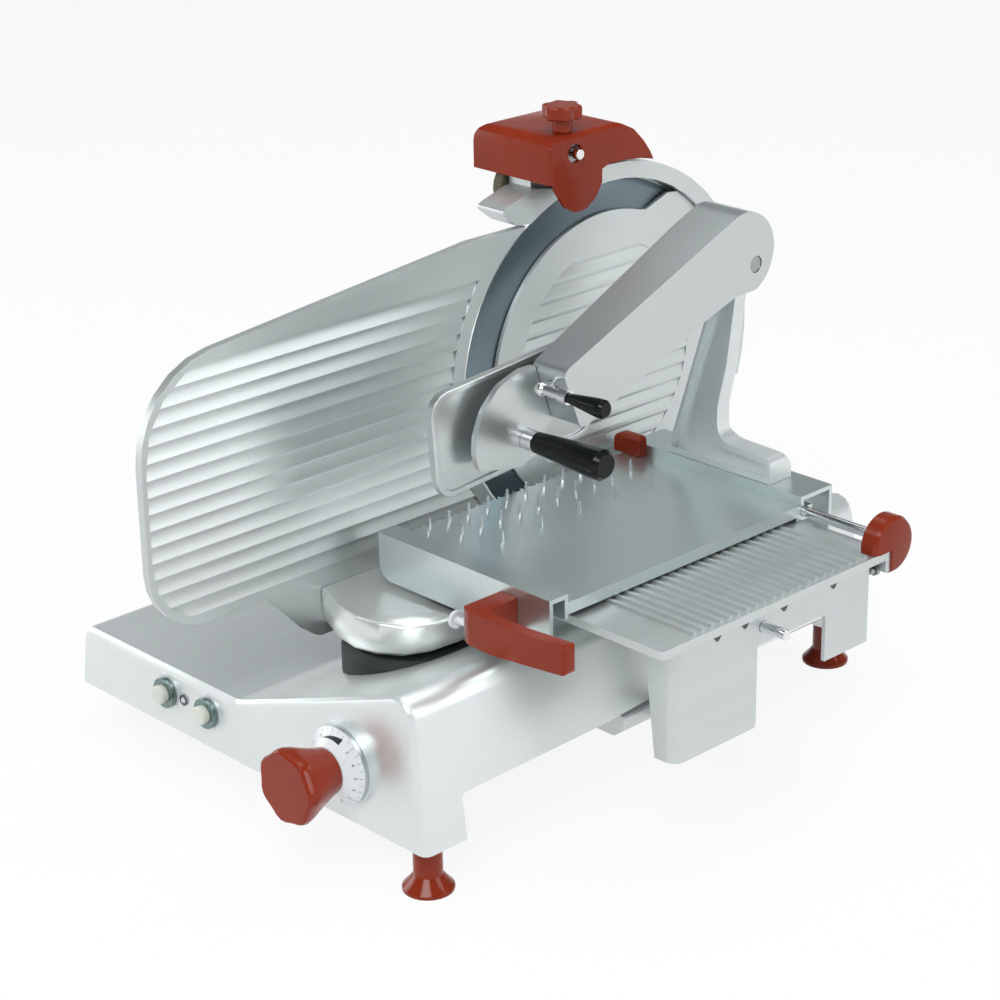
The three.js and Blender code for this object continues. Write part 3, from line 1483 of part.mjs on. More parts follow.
// Pillar on the rear rail, and the pivot pin at its head.
const pillarShares = [
  [0, 0], [0.328, 0.635], [0.517, 1], [0.677, 1], [0.57, 0.506], [0.49, 0.3, 0.25], [0.487, 0.13, 0.08],
  [1, 0.118, 0.04], [1, 0],
];
const pillarHollowShares = [
  [0.045, 0.03], [0.335, 0.6], [0.53, 0.96], [0.63, 0.96], [0.53, 0.506], [0.45, 0.3, 0.25],
  [0.447, 0.105, 0.08], [0.965, 0.092, 0.02], [0.965, 0.03],
];
const pivotPlace = [pivot.y, pivot.z];
function pillarForm() {
  const spanX = [pillar.left, pillar.right];
  const bottom = table.railTop + fit;
  const spanZ = [bottom, pivot.z];
  const webRear = pillar.webFront + pillar.webThickness;
  const hollow = outline(laid(pillarHollowShares, spanX, spanZ));
  const side = prism('x', new THREE.Shape([
    new THREE.Vector2(pillar.front, bottom),
    new THREE.Vector2(pillar.footRear, bottom),
    new THREE.Vector2(pillar.footRear, bottom + overrun),
    new THREE.Vector2(pillar.midRear, pillar.footTop),
    new THREE.Vector2(pillar.neckRear, pivot.z),
    new THREE.Vector2(pillar.front, pivot.z),
  ]), pillar.left, pillar.right);
  const neck = block(pillar.neckLeft, pillar.neckRight, pillar.neckFront, pillar.neckRear,
    pillar.neckBottom, pivot.z)
    .add(rod('x', pivotPlace, (pillar.neckRear - pillar.neckFront) / 2, pillar.neckLeft, pillar.neckRight, 28));
  return prism('y', outline(laid(pillarShares, spanX, spanZ)), pillar.front, pillar.footRear)
    .intersect(side)
    .subtract(prism('y', hollow, pillar.front - overrun, pillar.webFront))
    .subtract(prism('y', hollow, webRear, pillar.footRear + overrun))
    .add(neck)
    .subtract(rod('x', pivotPlace, pivot.radius + fit, pillar.neckLeft - overrun, pillar.neckRight + overrun));
}
add('pillar', pillarForm(), satin);
add('pivot_pin', turned('x', pivotPlace, [
  [0, press.left + bite],
  [pivot.radius, press.left + bite],
  [pivot.radius, press.right - press.wall],
  [pivot.headRadius, press.right - press.wall],
  [pivot.headRadius, press.right - pivot.sunk],
  [0, press.right - pivot.sunk],
], 20), chrome);

// Press arm: a hollow arm round the pillar's neck, narrower towards its front end.
const pressShares = [
  [0.86, 1, 0.22], [0, 0.366, 0.05], [0.077, 0, 0.05], [0.151, 0.039, 0.1], [0.555, 0.32],
  [0.647, 0.386, 0.2], [0.801, 0.477, 0.2], [0.912, 0.484, 0.1], [0.965, 0.556, 0.2], [1.003, 0.719, 0.3],
  [0.968, 0.89, 0.3],
];
const pressHollowShares = [
  [0.051, 0.307], [0.103, -0.072], [0.636, 0.255], [0.857, 0.288], [1.114, 0.288], [1.114, 0.81],
  [0.9375, 0.863], [0.868, 0.961],
];
function pressArm() {
  const spanY = [press.front, press.rear];
  const spanZ = [press.bottom, press.top];
  const wedge = (inset) => prism('z', new THREE.Shape([
    new THREE.Vector2(press.left - overrun, press.front - overrun),
    new THREE.Vector2(press.frontLeft + inset, press.front - overrun),
    new THREE.Vector2(press.left + inset, press.taperRear),
    new THREE.Vector2(press.left - overrun, press.taperRear),
  ]), press.bottom - overrun, press.top + overrun);
  const body = prism('x', outline(laid(pressShares, spanY, spanZ)), press.left, press.right)
    .subtract(wedge(0));
  const hollow = prism('x', outline(laid(pressHollowShares, spanY, spanZ)), press.left + press.wall,
    press.right - press.wall).subtract(wedge(press.wall));
  return body.subtract(hollow)
    .subtract(rod('x', pivotPlace, pivot.radius + fit, press.left - overrun, press.left + overrun))
    .subtract(rod('x', pivotPlace, pivot.headRadius + fit, press.right - overrun, press.right + overrun, 20))
    .subtract(rod('y', [lever.x, lever.z], lever.studRadius + fit, lever.y,
      press.front + 3 * lever.ballRadius));
}
add('press_arm', pressArm(), satin);

const quadrantShares = [
  [0, 0.284, 0.1], [0.011, 0.466, 0.2], [0.11, 0.705, 0.3], [0.319, 0.909, 0.3], [0.604, 1, 0.2], [0.778, 1],
  [1, 0.386], [0.626, 0, 0.1], [0.044, 0.102, 0.08],
];
const gripPlace = [grip.y, grip.z];
function fanGuard() {
  const left = quadrant.right - quadrant.thickness;
  const sheet = prism('x', outline(laid(quadrantShares, [quadrant.front, quadrant.rear],
    [quadrant.bottom, quadrant.top])), left, quadrant.right);
  return sheet.add(rod('x', gripPlace, quadrant.hubRadius, pusher.left + pusher.thickness + fit,
    quadrant.right, 32));
}
add('fan_guard', fanGuard(), satin);

function pusherPlate() {
  const middle = new THREE.Vector2((pusher.front + pusher.rear) / 2, (pusher.bottom + pusher.top) / 2);
  const sheet = (inset) => {
    const radius = pusher.cornerRadius - inset;
    const points = drawn([
      [pusher.front + inset, pusher.bottom + inset, radius],
      [pusher.rear - inset, pusher.bottom + inset, radius],
      [pusher.rear - inset, pusher.top - inset, radius],
      [pusher.front + inset, pusher.top - inset, radius],
    ]);
    return new THREE.Shape(points.map((point) => point.rotateAround(middle, degrees(pusher.tilt))));
  };
  const face = pusher.left + pusher.thickness;
  return prism('x', sheet(0), pusher.left, pusher.left + pusher.rim)
    .subtract(prism('x', sheet(pusher.rimWidth), face, face + overrun));
}
add('pusher_plate', pusherPlate(), satin);

const ferruleLeft = quadrant.right + fit;
const ferruleRight = ferruleLeft + grip.ferruleLength;
add('handle_ferrule', turned('x', gripPlace, [
  [0, ferruleLeft],
  [grip.ferruleRadius, ferruleLeft],
  [grip.ferruleRadius, ferruleRight],
  [grip.studRadius, ferruleRight],
  [grip.studRadius, ferruleRight + grip.studDepth],
  [0, ferruleRight + grip.studDepth],
], 24), chrome);
const gripLeft = ferruleRight + fit;
const gripRight = gripLeft + grip.length;
add('handle_grip', turned('x', gripPlace, [
  [grip.studRadius + fit, gripLeft],
  [grip.ferruleRadius, gripLeft],
  [grip.radius, gripRight - grip.radius],
  [grip.radius, gripRight - grip.radius / 3],
  [grip.radius * endShare, gripRight],
  [0, gripRight],
  [0, ferruleRight + grip.studDepth + fit],
  [grip.studRadius + fit, ferruleRight + grip.studDepth + fit],
], 20), blackPlastic);

// Clamp lever at the front end of the press arm.
const leverPlace = [lever.y, lever.z];
const neckEnd = lever.x + lever.neckLength;
const leverBall = new THREE.SphereGeometry(lever.ballRadius, 14, 8);
leverBall.translate(lever.x, lever.y, lever.z);
add('clamp_lever', joined(
  solid(leverBall),
  rod('y', [lever.x, lever.z], lever.studRadius, lever.y, lever.studEnd),
  rod('x', leverPlace, lever.neckRadius, lever.x, neckEnd),
  rod('x', leverPlace, lever.collarRadius, neckEnd - lever.collarLength, neckEnd),
  rod('x', leverPlace, lever.tangRadius, neckEnd - bite, neckEnd + lever.tangLength, 12),
), chrome);
const leverGripLeft = neckEnd + fit;
const leverGripRight = leverGripLeft + lever.gripLength;
add('clamp_grip', turned('x', leverPlace, [
  [lever.tangRadius + fit, leverGripLeft],
  [lever.neckRadius, leverGripLeft],
  [lever.gripRadius, leverGripRight - lever.gripRadius],
  [lever.gripRadius, leverGripRight - lever.gripRadius / 3],
  [lever.gripRadius * endShare, leverGripRight],
  [0, leverGripRight],
  [0, neckEnd + lever.tangLength + fit],
  [lever.tangRadius + fit, neckEnd + lever.tangLength + fit],
], 20), blackPlastic);

// The whole machine stands on Z = 0, centred on its bounding box.
const box = new THREE.Box3().setFromObject(object);
const middle = box.getCenter(new THREE.Vector3());
object.children.forEach((piece) => piece.geometry.translate(-middle.x, -middle.y, -box.min.z));

export default object;
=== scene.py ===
# Looks of the vertical-blade meat slicer: finishes, softened edges and the small details that sit
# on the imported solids. Metres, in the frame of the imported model.
import json
import math

import bmesh
import bpy
from mathutils import Matrix, Vector


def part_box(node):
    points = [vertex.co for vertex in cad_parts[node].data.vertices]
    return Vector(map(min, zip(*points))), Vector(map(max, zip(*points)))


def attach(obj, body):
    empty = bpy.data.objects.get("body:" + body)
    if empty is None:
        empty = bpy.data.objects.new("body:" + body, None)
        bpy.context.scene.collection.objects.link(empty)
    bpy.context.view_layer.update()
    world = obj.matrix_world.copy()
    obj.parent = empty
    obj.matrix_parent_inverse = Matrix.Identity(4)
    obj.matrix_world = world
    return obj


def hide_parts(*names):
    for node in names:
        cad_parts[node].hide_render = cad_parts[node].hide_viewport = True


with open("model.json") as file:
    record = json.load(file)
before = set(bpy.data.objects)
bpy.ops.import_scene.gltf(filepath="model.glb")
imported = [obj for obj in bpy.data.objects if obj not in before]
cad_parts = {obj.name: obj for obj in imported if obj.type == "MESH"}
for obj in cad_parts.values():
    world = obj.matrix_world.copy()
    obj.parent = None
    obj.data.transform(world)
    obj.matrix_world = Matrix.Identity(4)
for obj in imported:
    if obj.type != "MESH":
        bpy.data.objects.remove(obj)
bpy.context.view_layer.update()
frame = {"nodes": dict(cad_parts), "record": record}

MM = 0.001
RECORD = frame["record"]
BODY_OF = {
    node: body
    for body, nodes in RECORD["behaviour"]["bodies"].items()
    for node in nodes
}
SLOT_OF = {part["node"]: part["material_slot"] for part in RECORD["subparts"]}

# Texture scales are in cells per metre.
CLOUD_SCALE, CLOUD_DETAIL = 5.0, 3.0
MOULD_CLOUD_SCALE = 9.0
CAST_GRAIN_SCALE = 900.0
GRAIN_HEIGHT = 0.00012
BRUSH_HEIGHT = 0.0001
MARK_HEIGHT = 0.00005
EVEN = (1.0, 1.0, 1.0)
BRUSHED_ALONG_Y = (1.0, 0.06, 1.0)
DRAWN_ALONG_Y = (1.0, 0.2, 1.0)


# Materials.
def new_material(name, color, metallic=0.0, roughness=0.5):
    material = bpy.data.materials.new(name)
    material.use_nodes = True
    shader = material.node_tree.nodes["Principled BSDF"]
    shader.inputs["Base Color"].default_value = (*color, 1.0)
    shader.inputs["Metallic"].default_value = metallic
    shader.inputs["Roughness"].default_value = roughness
    return material, material.node_tree, shader


def noise_of(tree, scale, detail=4.0, stretch=EVEN, rough=0.55):
    nodes, links = tree.nodes, tree.links
    place = nodes.new("ShaderNodeTexCoord")
    mapping = nodes.new("ShaderNodeMapping")
    mapping.inputs["Scale"].default_value = stretch
    noise = nodes.new("ShaderNodeTexNoise")
    noise.inputs["Scale"].default_value = scale
    noise.inputs["Detail"].default_value = detail
    noise.inputs["Roughness"].default_value = rough
    links.new(place.outputs["Object"], mapping.inputs["Vector"])
    links.new(mapping.outputs["Vector"], noise.inputs["Vector"])
    return noise.outputs["Fac"]


def ramp_of(tree, factor, low, high, start=0.3, end=0.7):
    ramp = tree.nodes.new("ShaderNodeValToRGB")
    ramp.color_ramp.elements[0].position = start
    ramp.color_ramp.elements[0].color = (*low, 1.0)
    ramp.color_ramp.elements[1].position = end
    ramp.color_ramp.elements[1].color = (*high, 1.0)
    tree.links.new(factor, ramp.inputs["Fac"])
    return ramp.outputs["Color"]


def range_of(tree, factor, low, high, start=0.3, end=0.7):
    span = tree.nodes.new("ShaderNodeMapRange")
    span.inputs["From Min"].default_value = start
    span.inputs["From Max"].default_value = end
    span.inputs["To Min"].default_value = low
    span.inputs["To Max"].default_value = high
    tree.links.new(factor, span.inputs["Value"])
    return span.outputs["Result"]


def bump_from(tree, shader, height, distance, strength=0.5, below=None):
    bump = tree.nodes.new("ShaderNodeBump")
    bump.inputs["Distance"].default_value = distance
    bump.inputs["Strength"].default_value = strength
    tree.links.new(height, bump.inputs["Height"])
    if below is not None:
        tree.links.new(below.outputs["Normal"], bump.inputs["Normal"])
    tree.links.new(bump.outputs["Normal"], shader.inputs["Normal"])
    return bump


def scaled(color, factor):
    return tuple(min(1.0, channel * factor) for channel in color)


def toned(tree, factor, color, low, high):
    """A colour that a texture shifts between two shares of itself."""
    return ramp_of(tree, factor, scaled(color, low), scaled(color, high))


def cast_metal(name, color, metallic, roughness, brush=EVEN, relief=1.0):
    """Satin aluminium: cloudy tone, fine brushing along one way, and a faint cast grain."""
    material, tree, shader = new_material(name, color, metallic, roughness)
    clouds = noise_of(tree, CLOUD_SCALE, CLOUD_DETAIL)
    streaks = noise_of(tree, 60.0, 6.0, brush, 0.7)
    mix = tree.nodes.new("ShaderNodeMix")
    mix.data_type = "RGBA"
    mix.inputs["Factor"].default_value = 0.5
    fade = 0.04 * (0.4 + relief)
    for texture, side in ((clouds, "A"), (streaks, "B")):
        tree.links.new(toned(tree, texture, color, 1 - fade, 1 + fade), mix.inputs[side])
    tree.links.new(mix.outputs["Result"], shader.inputs["Base Color"])
    dull, bright = roughness + 0.07 * relief, roughness - 0.05 * relief
    tree.links.new(range_of(tree, streaks, bright, dull), shader.inputs["Roughness"])
    fine = noise_of(tree, CAST_GRAIN_SCALE, 2.0)
    grain = bump_from(tree, shader, fine, GRAIN_HEIGHT, 0.25 * relief)
    bump_from(tree, shader, streaks, BRUSH_HEIGHT, 0.2 * relief, grain)
    return material


def moulded(name, color, roughness, grain_scale=700.0, grain=0.3, specular=0.4):
    """Moulded plastic: near even colour, a slight sheen change and a fine mould grain."""
    material, tree, shader = new_material(name, color, 0.0, roughness)
    clouds = noise_of(tree, MOULD_CLOUD_SCALE, CLOUD_DETAIL)
    tree.links.new(toned(tree, clouds, color, 0.9, 1.1), shader.inputs["Base Color"])
    wear = noise_of(tree, 40.0, 5.0)
    gloss = range_of(tree, wear, roughness - 0.04, roughness + 0.06)
    tree.links.new(gloss, shader.inputs["Roughness"])
    shader.inputs["Specular IOR Level"].default_value = specular
    bump_from(tree, shader, noise_of(tree, grain_scale, 2.0), GRAIN_HEIGHT, grain)
    return material


def bright_metal(name, color, roughness):
    """Polished or plated metal with faint handling marks in its gloss."""
    material, tree, shader = new_material(name, color, 1.0, roughness)
    marks = noise_of(tree, 30.0, 6.0, EVEN, 0.65)
    gloss = range_of(tree, marks, max(0.02, roughness - 0.04), roughness + 0.08)
    tree.links.new(gloss, shader.inputs["Roughness"])
    tree.links.new(toned(tree, marks, color, 0.96, 1.02), shader.inputs["Base Color"])
    bump_from(tree, shader, marks, MARK_HEIGHT, 0.12)
    return material


def blade_steel():
    """Ground steel: fine rings about the blade's axis in tone, gloss and bump."""
    color = (0.15, 0.195, 0.22)
    material, tree, shader = new_material("ground_blade_steel", color, 0.92, 0.26)
    shader.inputs["Anisotropic"].default_value = 0.7
    around = tree.nodes.new("ShaderNodeTangent")
    around.direction_type = "RADIAL"
    around.axis = "X"
    tree.links.new(around.outputs["Tangent"], shader.inputs["Tangent"])
    low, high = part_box("blade")
    place = tree.nodes.new("ShaderNodeTexCoord")
    shift = tree.nodes.new("ShaderNodeVectorMath")
    shift.operation = "SUBTRACT"
    shift.inputs[1].default_value = (low + high) / 2
    split = tree.nodes.new("ShaderNodeSeparateXYZ")
    flat = tree.nodes.new("ShaderNodeCombineXYZ")
    length = tree.nodes.new("ShaderNodeVectorMath")
    length.operation = "LENGTH"
    rings = tree.nodes.new("ShaderNodeTexNoise")
    rings.noise_dimensions = "1D"
    rings.inputs["Scale"].default_value = 900.0
    rings.inputs["Detail"].default_value = 4.0
    tree.links.new(place.outputs["Object"], shift.inputs[0])
    tree.links.new(shift.outputs["Vector"], split.inputs["Vector"])
    tree.links.new(split.outputs["Y"], flat.inputs["X"])
    tree.links.new(split.outputs["Z"], flat.inputs["Y"])
    tree.links.new(flat.outputs["Vector"], length.inputs[0])
    tree.links.new(length.outputs["Value"], rings.inputs["W"])
    groove = rings.outputs["Fac"]
    tree.links.new(toned(tree, groove, color, 0.95, 1.06), shader.inputs["Base Color"])
    tree.links.new(range_of(tree, groove, 0.27, 0.33), shader.inputs["Roughness"])
    bump_from(tree, shader, groove, 0.00001, 0.15)
    return material


def abrasive():
    """Sharpening stone: open grit with dark pores and pale grains."""
    material, tree, shader = new_material("sharpening_stone", (0.1, 0.09, 0.06), 0.0, 0.9)
    grit = noise_of(tree, 1400.0, 3.0)
    pores, grains = (0.045, 0.04, 0.025), (0.17, 0.155, 0.11)
    tree.links.new(ramp_of(tree, grit, pores, grains), shader.inputs["Base Color"])
    bump_from(tree, shader, grit, 0.0005, 0.8)
    return material


def ink(name, color):
    """Print: a dark tone with a slight fade."""
    material, tree, shader = new_material(name, color, 0.0, 0.45)
    fade = noise_of(tree, 200.0, 3.0)
    tree.links.new(toned(tree, fade, color, 0.8, 1.2), shader.inputs["Base Color"])
    return material


# One material for each slot of the record. Roughness follows colour and, for metal, metallic.
MATERIALS = {
    "satin": cast_metal("satin_aluminium", (0.60, 0.64, 0.64), 0.75, 0.36, BRUSHED_ALONG_Y),
    "polished": cast_metal("polished_aluminium", (0.70, 0.73, 0.72), 0.68, 0.3, relief=0.12),
    "bright_steel": bright_metal("bright_steel", (0.82, 0.83, 0.84), 0.1),
    "red_brown": moulded("red_brown_plastic", (0.23, 0.025, 0.008), 0.15,
                         grain=0.03, specular=0.24),
    "black_grip": moulded("black_grip_plastic", (0.006, 0.007, 0.007), 0.16,
                          grain_scale=500.0, grain=0.05, specular=0.2),
    "rubber": moulded("black_rubber", (0.014, 0.018, 0.018), 0.62),
    "white_plastic": moulded("white_plastic", (0.72, 0.76, 0.78), 0.3),
    "iron": cast_metal("cast_iron", (0.16, 0.17, 0.175), 0.6, 0.55),
    "bronze": bright_metal("sintered_bronze", (0.5, 0.31, 0.12), 0.35),
    "button_plastic": moulded("button_plastic", (0.66, 0.69, 0.62), 0.3),
    "blade_steel": blade_steel(),
    "stone": abrasive(),
}
CAST_BASE = cast_metal("cast_base_aluminium", (0.72, 0.76, 0.76), 0.6, 0.36,
                       BRUSHED_ALONG_Y, relief=0.5)
GROUND_DECK = cast_metal("ground_aluminium", (0.62, 0.68, 0.68), 0.9, 0.29,
                         BRUSHED_ALONG_Y, relief=0.1)
DRAWN_ARM = cast_metal("smooth_arm_aluminium", (0.56, 0.60, 0.60), 0.92, 0.29,
                       DRAWN_ALONG_Y, relief=0.12)
HAND_PARTS = cast_metal("smooth_cast_aluminium", (0.64, 0.68, 0.68), 0.9, 0.3, relief=0.1)
FLUTED_PLATE = cast_metal("plate_aluminium", (0.56, 0.60, 0.60), 0.75, 0.37,
                          BRUSHED_ALONG_Y, relief=0.8)
# Dark aluminium: painted shade on the pockets under the carriage plate's edge, and the own dark
# colour of the ring round the pilot lamp.
DARK_METAL_AND_PAINTED_SHADE = cast_metal("dark_aluminium_and_painted_shade", (0.10, 0.115, 0.115), 0.6, 0.5)
RIM_STEEL = bright_metal("rim_steel", (0.55, 0.60, 0.60), 0.2)
DARK_PLATING = bright_metal("green_grey_plating", (0.20, 0.27, 0.26), 0.26)
# Darker steel. On the pivot pin its dark tone is painted shade, standing for a dished recess that
# the pin does not have. On the flange nut it is plain dark steel.
DARK_STEEL_AND_PAINTED_SHADE = bright_metal("dark_steel_and_painted_shade", (0.36, 0.39, 0.39), 0.34)
INK = ink("dial_ink", (0.02, 0.024, 0.026))
PALE_INK = ink("dial_pale_ink", (0.16, 0.18, 0.19))


# Dressed nodes: the solid's own shape with merged faces, softened edges and smooth curves.
# Bevel widths and the hood's corner are in millimetres, creases in degrees.
USUAL_CREASE = 28.0
CREASES = {"gauge_head": 42.0, "sharpener_hood": 34.0}
RIB_CREASES = {"gauge_plate": 8.0, "blade_cover": 9.0}
UNFILLETED = ("gauge_head", "rubber_gaiter")
ROUNDED_CORNERS = {"sharpener_hood": 4.5}
SMALL_EDGE = 0.3
EDGES = {
    "base_casting": 0.8, "gauge_plate": 0.5, "gauge_head": 1.2, "carriage_casting": 0.6,
    "meat_table": 0.35, "table_handle": 2.6, "pillar": 1.4, "press_arm": 1.2,
    "fan_guard": 1.0, "pusher_plate": 0.8, "sharpener_hood": 1.2, "sharpener_knob": 1.0,
    "end_cap": 0.8, "rail_end_cap": 1.0, "dial_knob": 0.9, "ring_guard": 0.6,
    "blade_cover": 0.4, "blade_housing": 1.5, "drive_cover": 0.8, "motor_cover": 0.6,
    "blade": 0.0, "sharpener_bracket": 0.8,
}
FINISHES = {
    "base_casting": CAST_BASE, "pillar": CAST_BASE, "meat_table": GROUND_DECK,
    "press_arm": DRAWN_ARM, "fan_guard": HAND_PARTS, "pusher_plate": HAND_PARTS,
    "pivot_pin": DARK_STEEL_AND_PAINTED_SHADE, "start_bezel": DARK_PLATING, "stop_bezel": DARK_PLATING,
    "gauge_plate": FLUTED_PLATE,
}
WELD = 0.005 * MM
FLAT_ANGLE = math.radians(0.6)
CORNER_REACH, CORNER_LENGTH = 0.3 * MM, 10 * MM
ALONG_Y_SHARE = 0.95
BEVEL_SEGMENTS, CORNER_SEGMENTS = 2, 5

# The sloping bands of the gauge plate: the top one's upper end, their spacing and their height.
BAND_TOP, BAND_PITCH, BAND_REACH, BAND_COUNT = 439 * MM, 14.9 * MM, 13.7 * MM, 15
BAND_STRIPS = 6
BAND_BOW = 1.45 * MM
CUT_TOLERANCE = 0.001 * MM
# The way a sloping band's face points, as parts of its normal.
BAND_OUTWARD, BAND_UP_LEAST, BAND_UP_MOST = 0.9, 0.1, 0.3


def round_a_corner(mesh, node, reach):
    """Rounds the upright edge where the right and the front faces meet."""
    low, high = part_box(node)

    def at_corner(place):
        return high.x - place.x < CORNER_REACH and place.y - low.y < CORNER_REACH

    corner = [
        edge for edge in mesh.edges
        if all(at_corner(vert.co) for vert in edge.verts)
        and abs(edge.verts[0].co.z - edge.verts[1].co.z) > CORNER_LENGTH
    ]
    bmesh.ops.bevel(mesh, geom=corner, offset=reach * MM, segments=CORNER_SEGMENTS,
                    profile=0.5, affect="EDGES", clamp_overlap=True)


def on_a_band(face, level):
    """Whether a face is part of a sloping band and spans a height."""
    if face.normal.x <= BAND_OUTWARD or not BAND_UP_LEAST < face.normal.z < BAND_UP_MOST:
        return False
    heights = [vert.co.z for vert in face.verts]
    return min(heights) < level < max(heights)


def bow_the_bands(mesh):
    """Each sloping band of the gauge plate sinks in a little between its step and its edge."""
    sunk = []
    for index in range(BAND_COUNT):
        for strip in range(1, BAND_STRIPS):
            left = 1 - strip / BAND_STRIPS
            level = BAND_TOP - BAND_PITCH * index - BAND_REACH * (1 - left)
            mesh.normal_update()
            slopes = [face for face in mesh.faces if on_a_band(face, level)]
            sides = {edge for face in slopes for edge in face.edges}
            corners = {vert for face in slopes for vert in face.verts}
            cut = bmesh.ops.bisect_plane(
                mesh, geom=slopes + list(sides) + list(corners), dist=CUT_TOLERANCE,
                plane_co=(0, 0, level), plane_no=(0, 0, 1))
            sunk += [(item, BAND_BOW * (left - left ** 3)) for item in cut["geom_cut"]
                     if isinstance(item, bmesh.types.BMVert)]
    for vert, depth in sunk:
        vert.co.x -= depth


def mark_edges(mesh, node):
    """Smooths gentle bends, keeps sharp ones and weighs those that are to be bevelled."""
    crease = math.radians(CREASES.get(node, USUAL_CREASE))
    rib_crease = math.radians(RIB_CREASES[node]) if node in RIB_CREASES else crease
    weight = mesh.edges.layers.float.new("bevel_weight_edge")
    for face in mesh.faces:
        face.smooth = True
    for side in mesh.edges:
        if len(side.link_faces) != 2:
            continue
        bend = side.calc_face_angle()
        along = side.verts[1].co - side.verts[0].co
        rib = bend > rib_crease and abs(along.y) > ALONG_Y_SHARE * along.length
        side.smooth = not (bend > crease or rib)
        if bend > crease and (side.is_convex or node not in UNFILLETED):
            side[weight] = 1.0


def link_object(name, data):
    piece = bpy.data.objects.new(name, data)
    bpy.context.scene.collection.objects.link(piece)
    return piece


def dressed(node):
    mesh = bmesh.new()
    mesh.from_mesh(frame["nodes"][node].data)
    bmesh.ops.remove_doubles(mesh, verts=mesh.verts, dist=WELD)
    bmesh.ops.dissolve_limit(mesh, angle_limit=FLAT_ANGLE, verts=mesh.verts, edges=mesh.edges)
    if node in ROUNDED_CORNERS:
        round_a_corner(mesh, node, ROUNDED_CORNERS[node])
    if node == "gauge_plate":
        bow_the_bands(mesh)
    mesh.normal_update()
    mark_edges(mesh, node)
    data = bpy.data.meshes.new(f"{node}_finish")
    mesh.to_mesh(data)
    mesh.free()
    piece = link_object(f"{node}_finish", data)
    width = EDGES.get(node, SMALL_EDGE)
    if width > 0:
        bevel = piece.modifiers.new("edge", "BEVEL")
        bevel.width = width * MM
        bevel.segments = BEVEL_SEGMENTS
        bevel.limit_method = "WEIGHT"
        bevel.use_clamp_overlap = True
        bevel.harden_normals = True
    data.materials.append(FINISHES.get(node, MATERIALS[SLOT_OF[node]]))
    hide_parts(node)
    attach(piece, BODY_OF[node])
    return piece


PIECES = {node: dressed(node) for node in frame["nodes"]}


def second_finish(node, material, chosen):
    """Gives the polygons of one piece that a test picks a finish of their own."""
    data = PIECES[node].data
    data.materials.append(material)
    for polygon in data.polygons:
        if chosen(polygon):
            polygon.material_index = 1


TABLE_LOW, TABLE_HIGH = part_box("meat_table")
JUST_OVER_DECK = 237.6 * MM
FIELD_FRONT, FIELD_REAR = TABLE_LOW.y + 46 * MM, TABLE_HIGH.y - 48 * MM
FIELD_LEFT, FIELD_RIGHT = TABLE_LOW.x + 3 * MM, TABLE_LOW.x + 86 * MM

RING_LOW, RING_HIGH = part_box("dial_ring")
DIAL_X = (RING_LOW.x + RING_HIGH.x) / 2
DIAL_Z = (RING_LOW.z + RING_HIGH.z) / 2
RIM_INNER = 35 * MM


def is_spike(polygon):
    """Above the deck, and inside the field that holds the three rows of spikes."""
    centre = polygon.center
    return (centre.z > JUST_OVER_DECK and FIELD_FRONT < centre.y < FIELD_REAR
            and FIELD_LEFT < centre.x < FIELD_RIGHT)


def is_rim(polygon):
    """The turned edge round the dial's white face."""
    centre = polygon.center
    return math.hypot(centre.x - DIAL_X, centre.z - DIAL_Z) > RIM_INNER


second_finish("meat_table", MATERIALS["bright_steel"], is_spike)
second_finish("dial_ring", RIM_STEEL, is_rim)


def place_piece(name, data, material, body):
    data.materials.append(material)
    piece = link_object(name, data)
    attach(piece, body)


def add_piece(name, corners, faces, material, body):
    data = bpy.data.meshes.new(name)
    data.from_pydata([tuple(corner) for corner in corners], [], faces)
    place_piece(name, data, material, body)


# Dial: graduation, numbers and the black wedge that grows with the slice thickness. The print
# lies a little over the ring's cone, which runs from its inner to its outer radius.
FACE_OUTER, FACE_INNER = 36 * MM, 21 * MM
FACE_DEPTH = 12 * MM
FACE_FRONT = RING_LOW.y
LIFT = 0.12 * MM
SCALE_START, SCALE_SWEEP = 118, 330
NUMBER_COUNT = 15
NUMBER_RADIUS, NUMBER_SIZE = 29.3 * MM, 4.6 * MM
TICK_COUNT = 29
TICK_OUTER, LONG_TICK_INNER, SHORT_TICK_INNER = 35 * MM, 32.2 * MM, 33.4 * MM
TICK_HALF_WIDTH = 0.22 * MM
WEDGE_START, WEDGE_SWEEP, WEDGE_STEPS = 112, 44, 16
WEDGE_RADIUS, WEDGE_THIN_END, WEDGE_GROWTH = 27.6 * MM, 0.3, 4.4


def on_dial(radius, degrees):
    """A point on the ring's cone at a radius and an angle, and the directions up and out of it."""
    turn = math.radians(degrees)
    out = Vector((math.cos(turn), 0, math.sin(turn)))
    share = (radius - FACE_INNER) / (FACE_OUTER - FACE_INNER)
    up_slope = (out * (FACE_OUTER - FACE_INNER) + Vector((0, FACE_DEPTH, 0))).normalized()
    normal = (out * FACE_DEPTH - Vector((0, FACE_OUTER - FACE_INNER, 0))).normalized()
    centre = Vector((DIAL_X, FACE_FRONT + FACE_DEPTH * share, DIAL_Z))
    return centre + out * radius + normal * LIFT, up_slope, normal


def dial_ticks():
    corners, faces = [], []
    half = math.degrees(TICK_HALF_WIDTH / TICK_OUTER)
    for index in range(TICK_COUNT):
        degrees = SCALE_START - index * SCALE_SWEEP / (TICK_COUNT - 1)
        inner = LONG_TICK_INNER if index % 2 == 0 else SHORT_TICK_INNER
        start = len(corners)
        for radius, angle in ((inner, degrees - half), (TICK_OUTER, degrees - half),
                              (TICK_OUTER, degrees + half), (inner, degrees + half)):
            corners.append(on_dial(radius, angle)[0])
        faces.append((start, start + 1, start + 2, start + 3))
    add_piece("dial_ticks", corners, faces, PALE_INK, "dial")


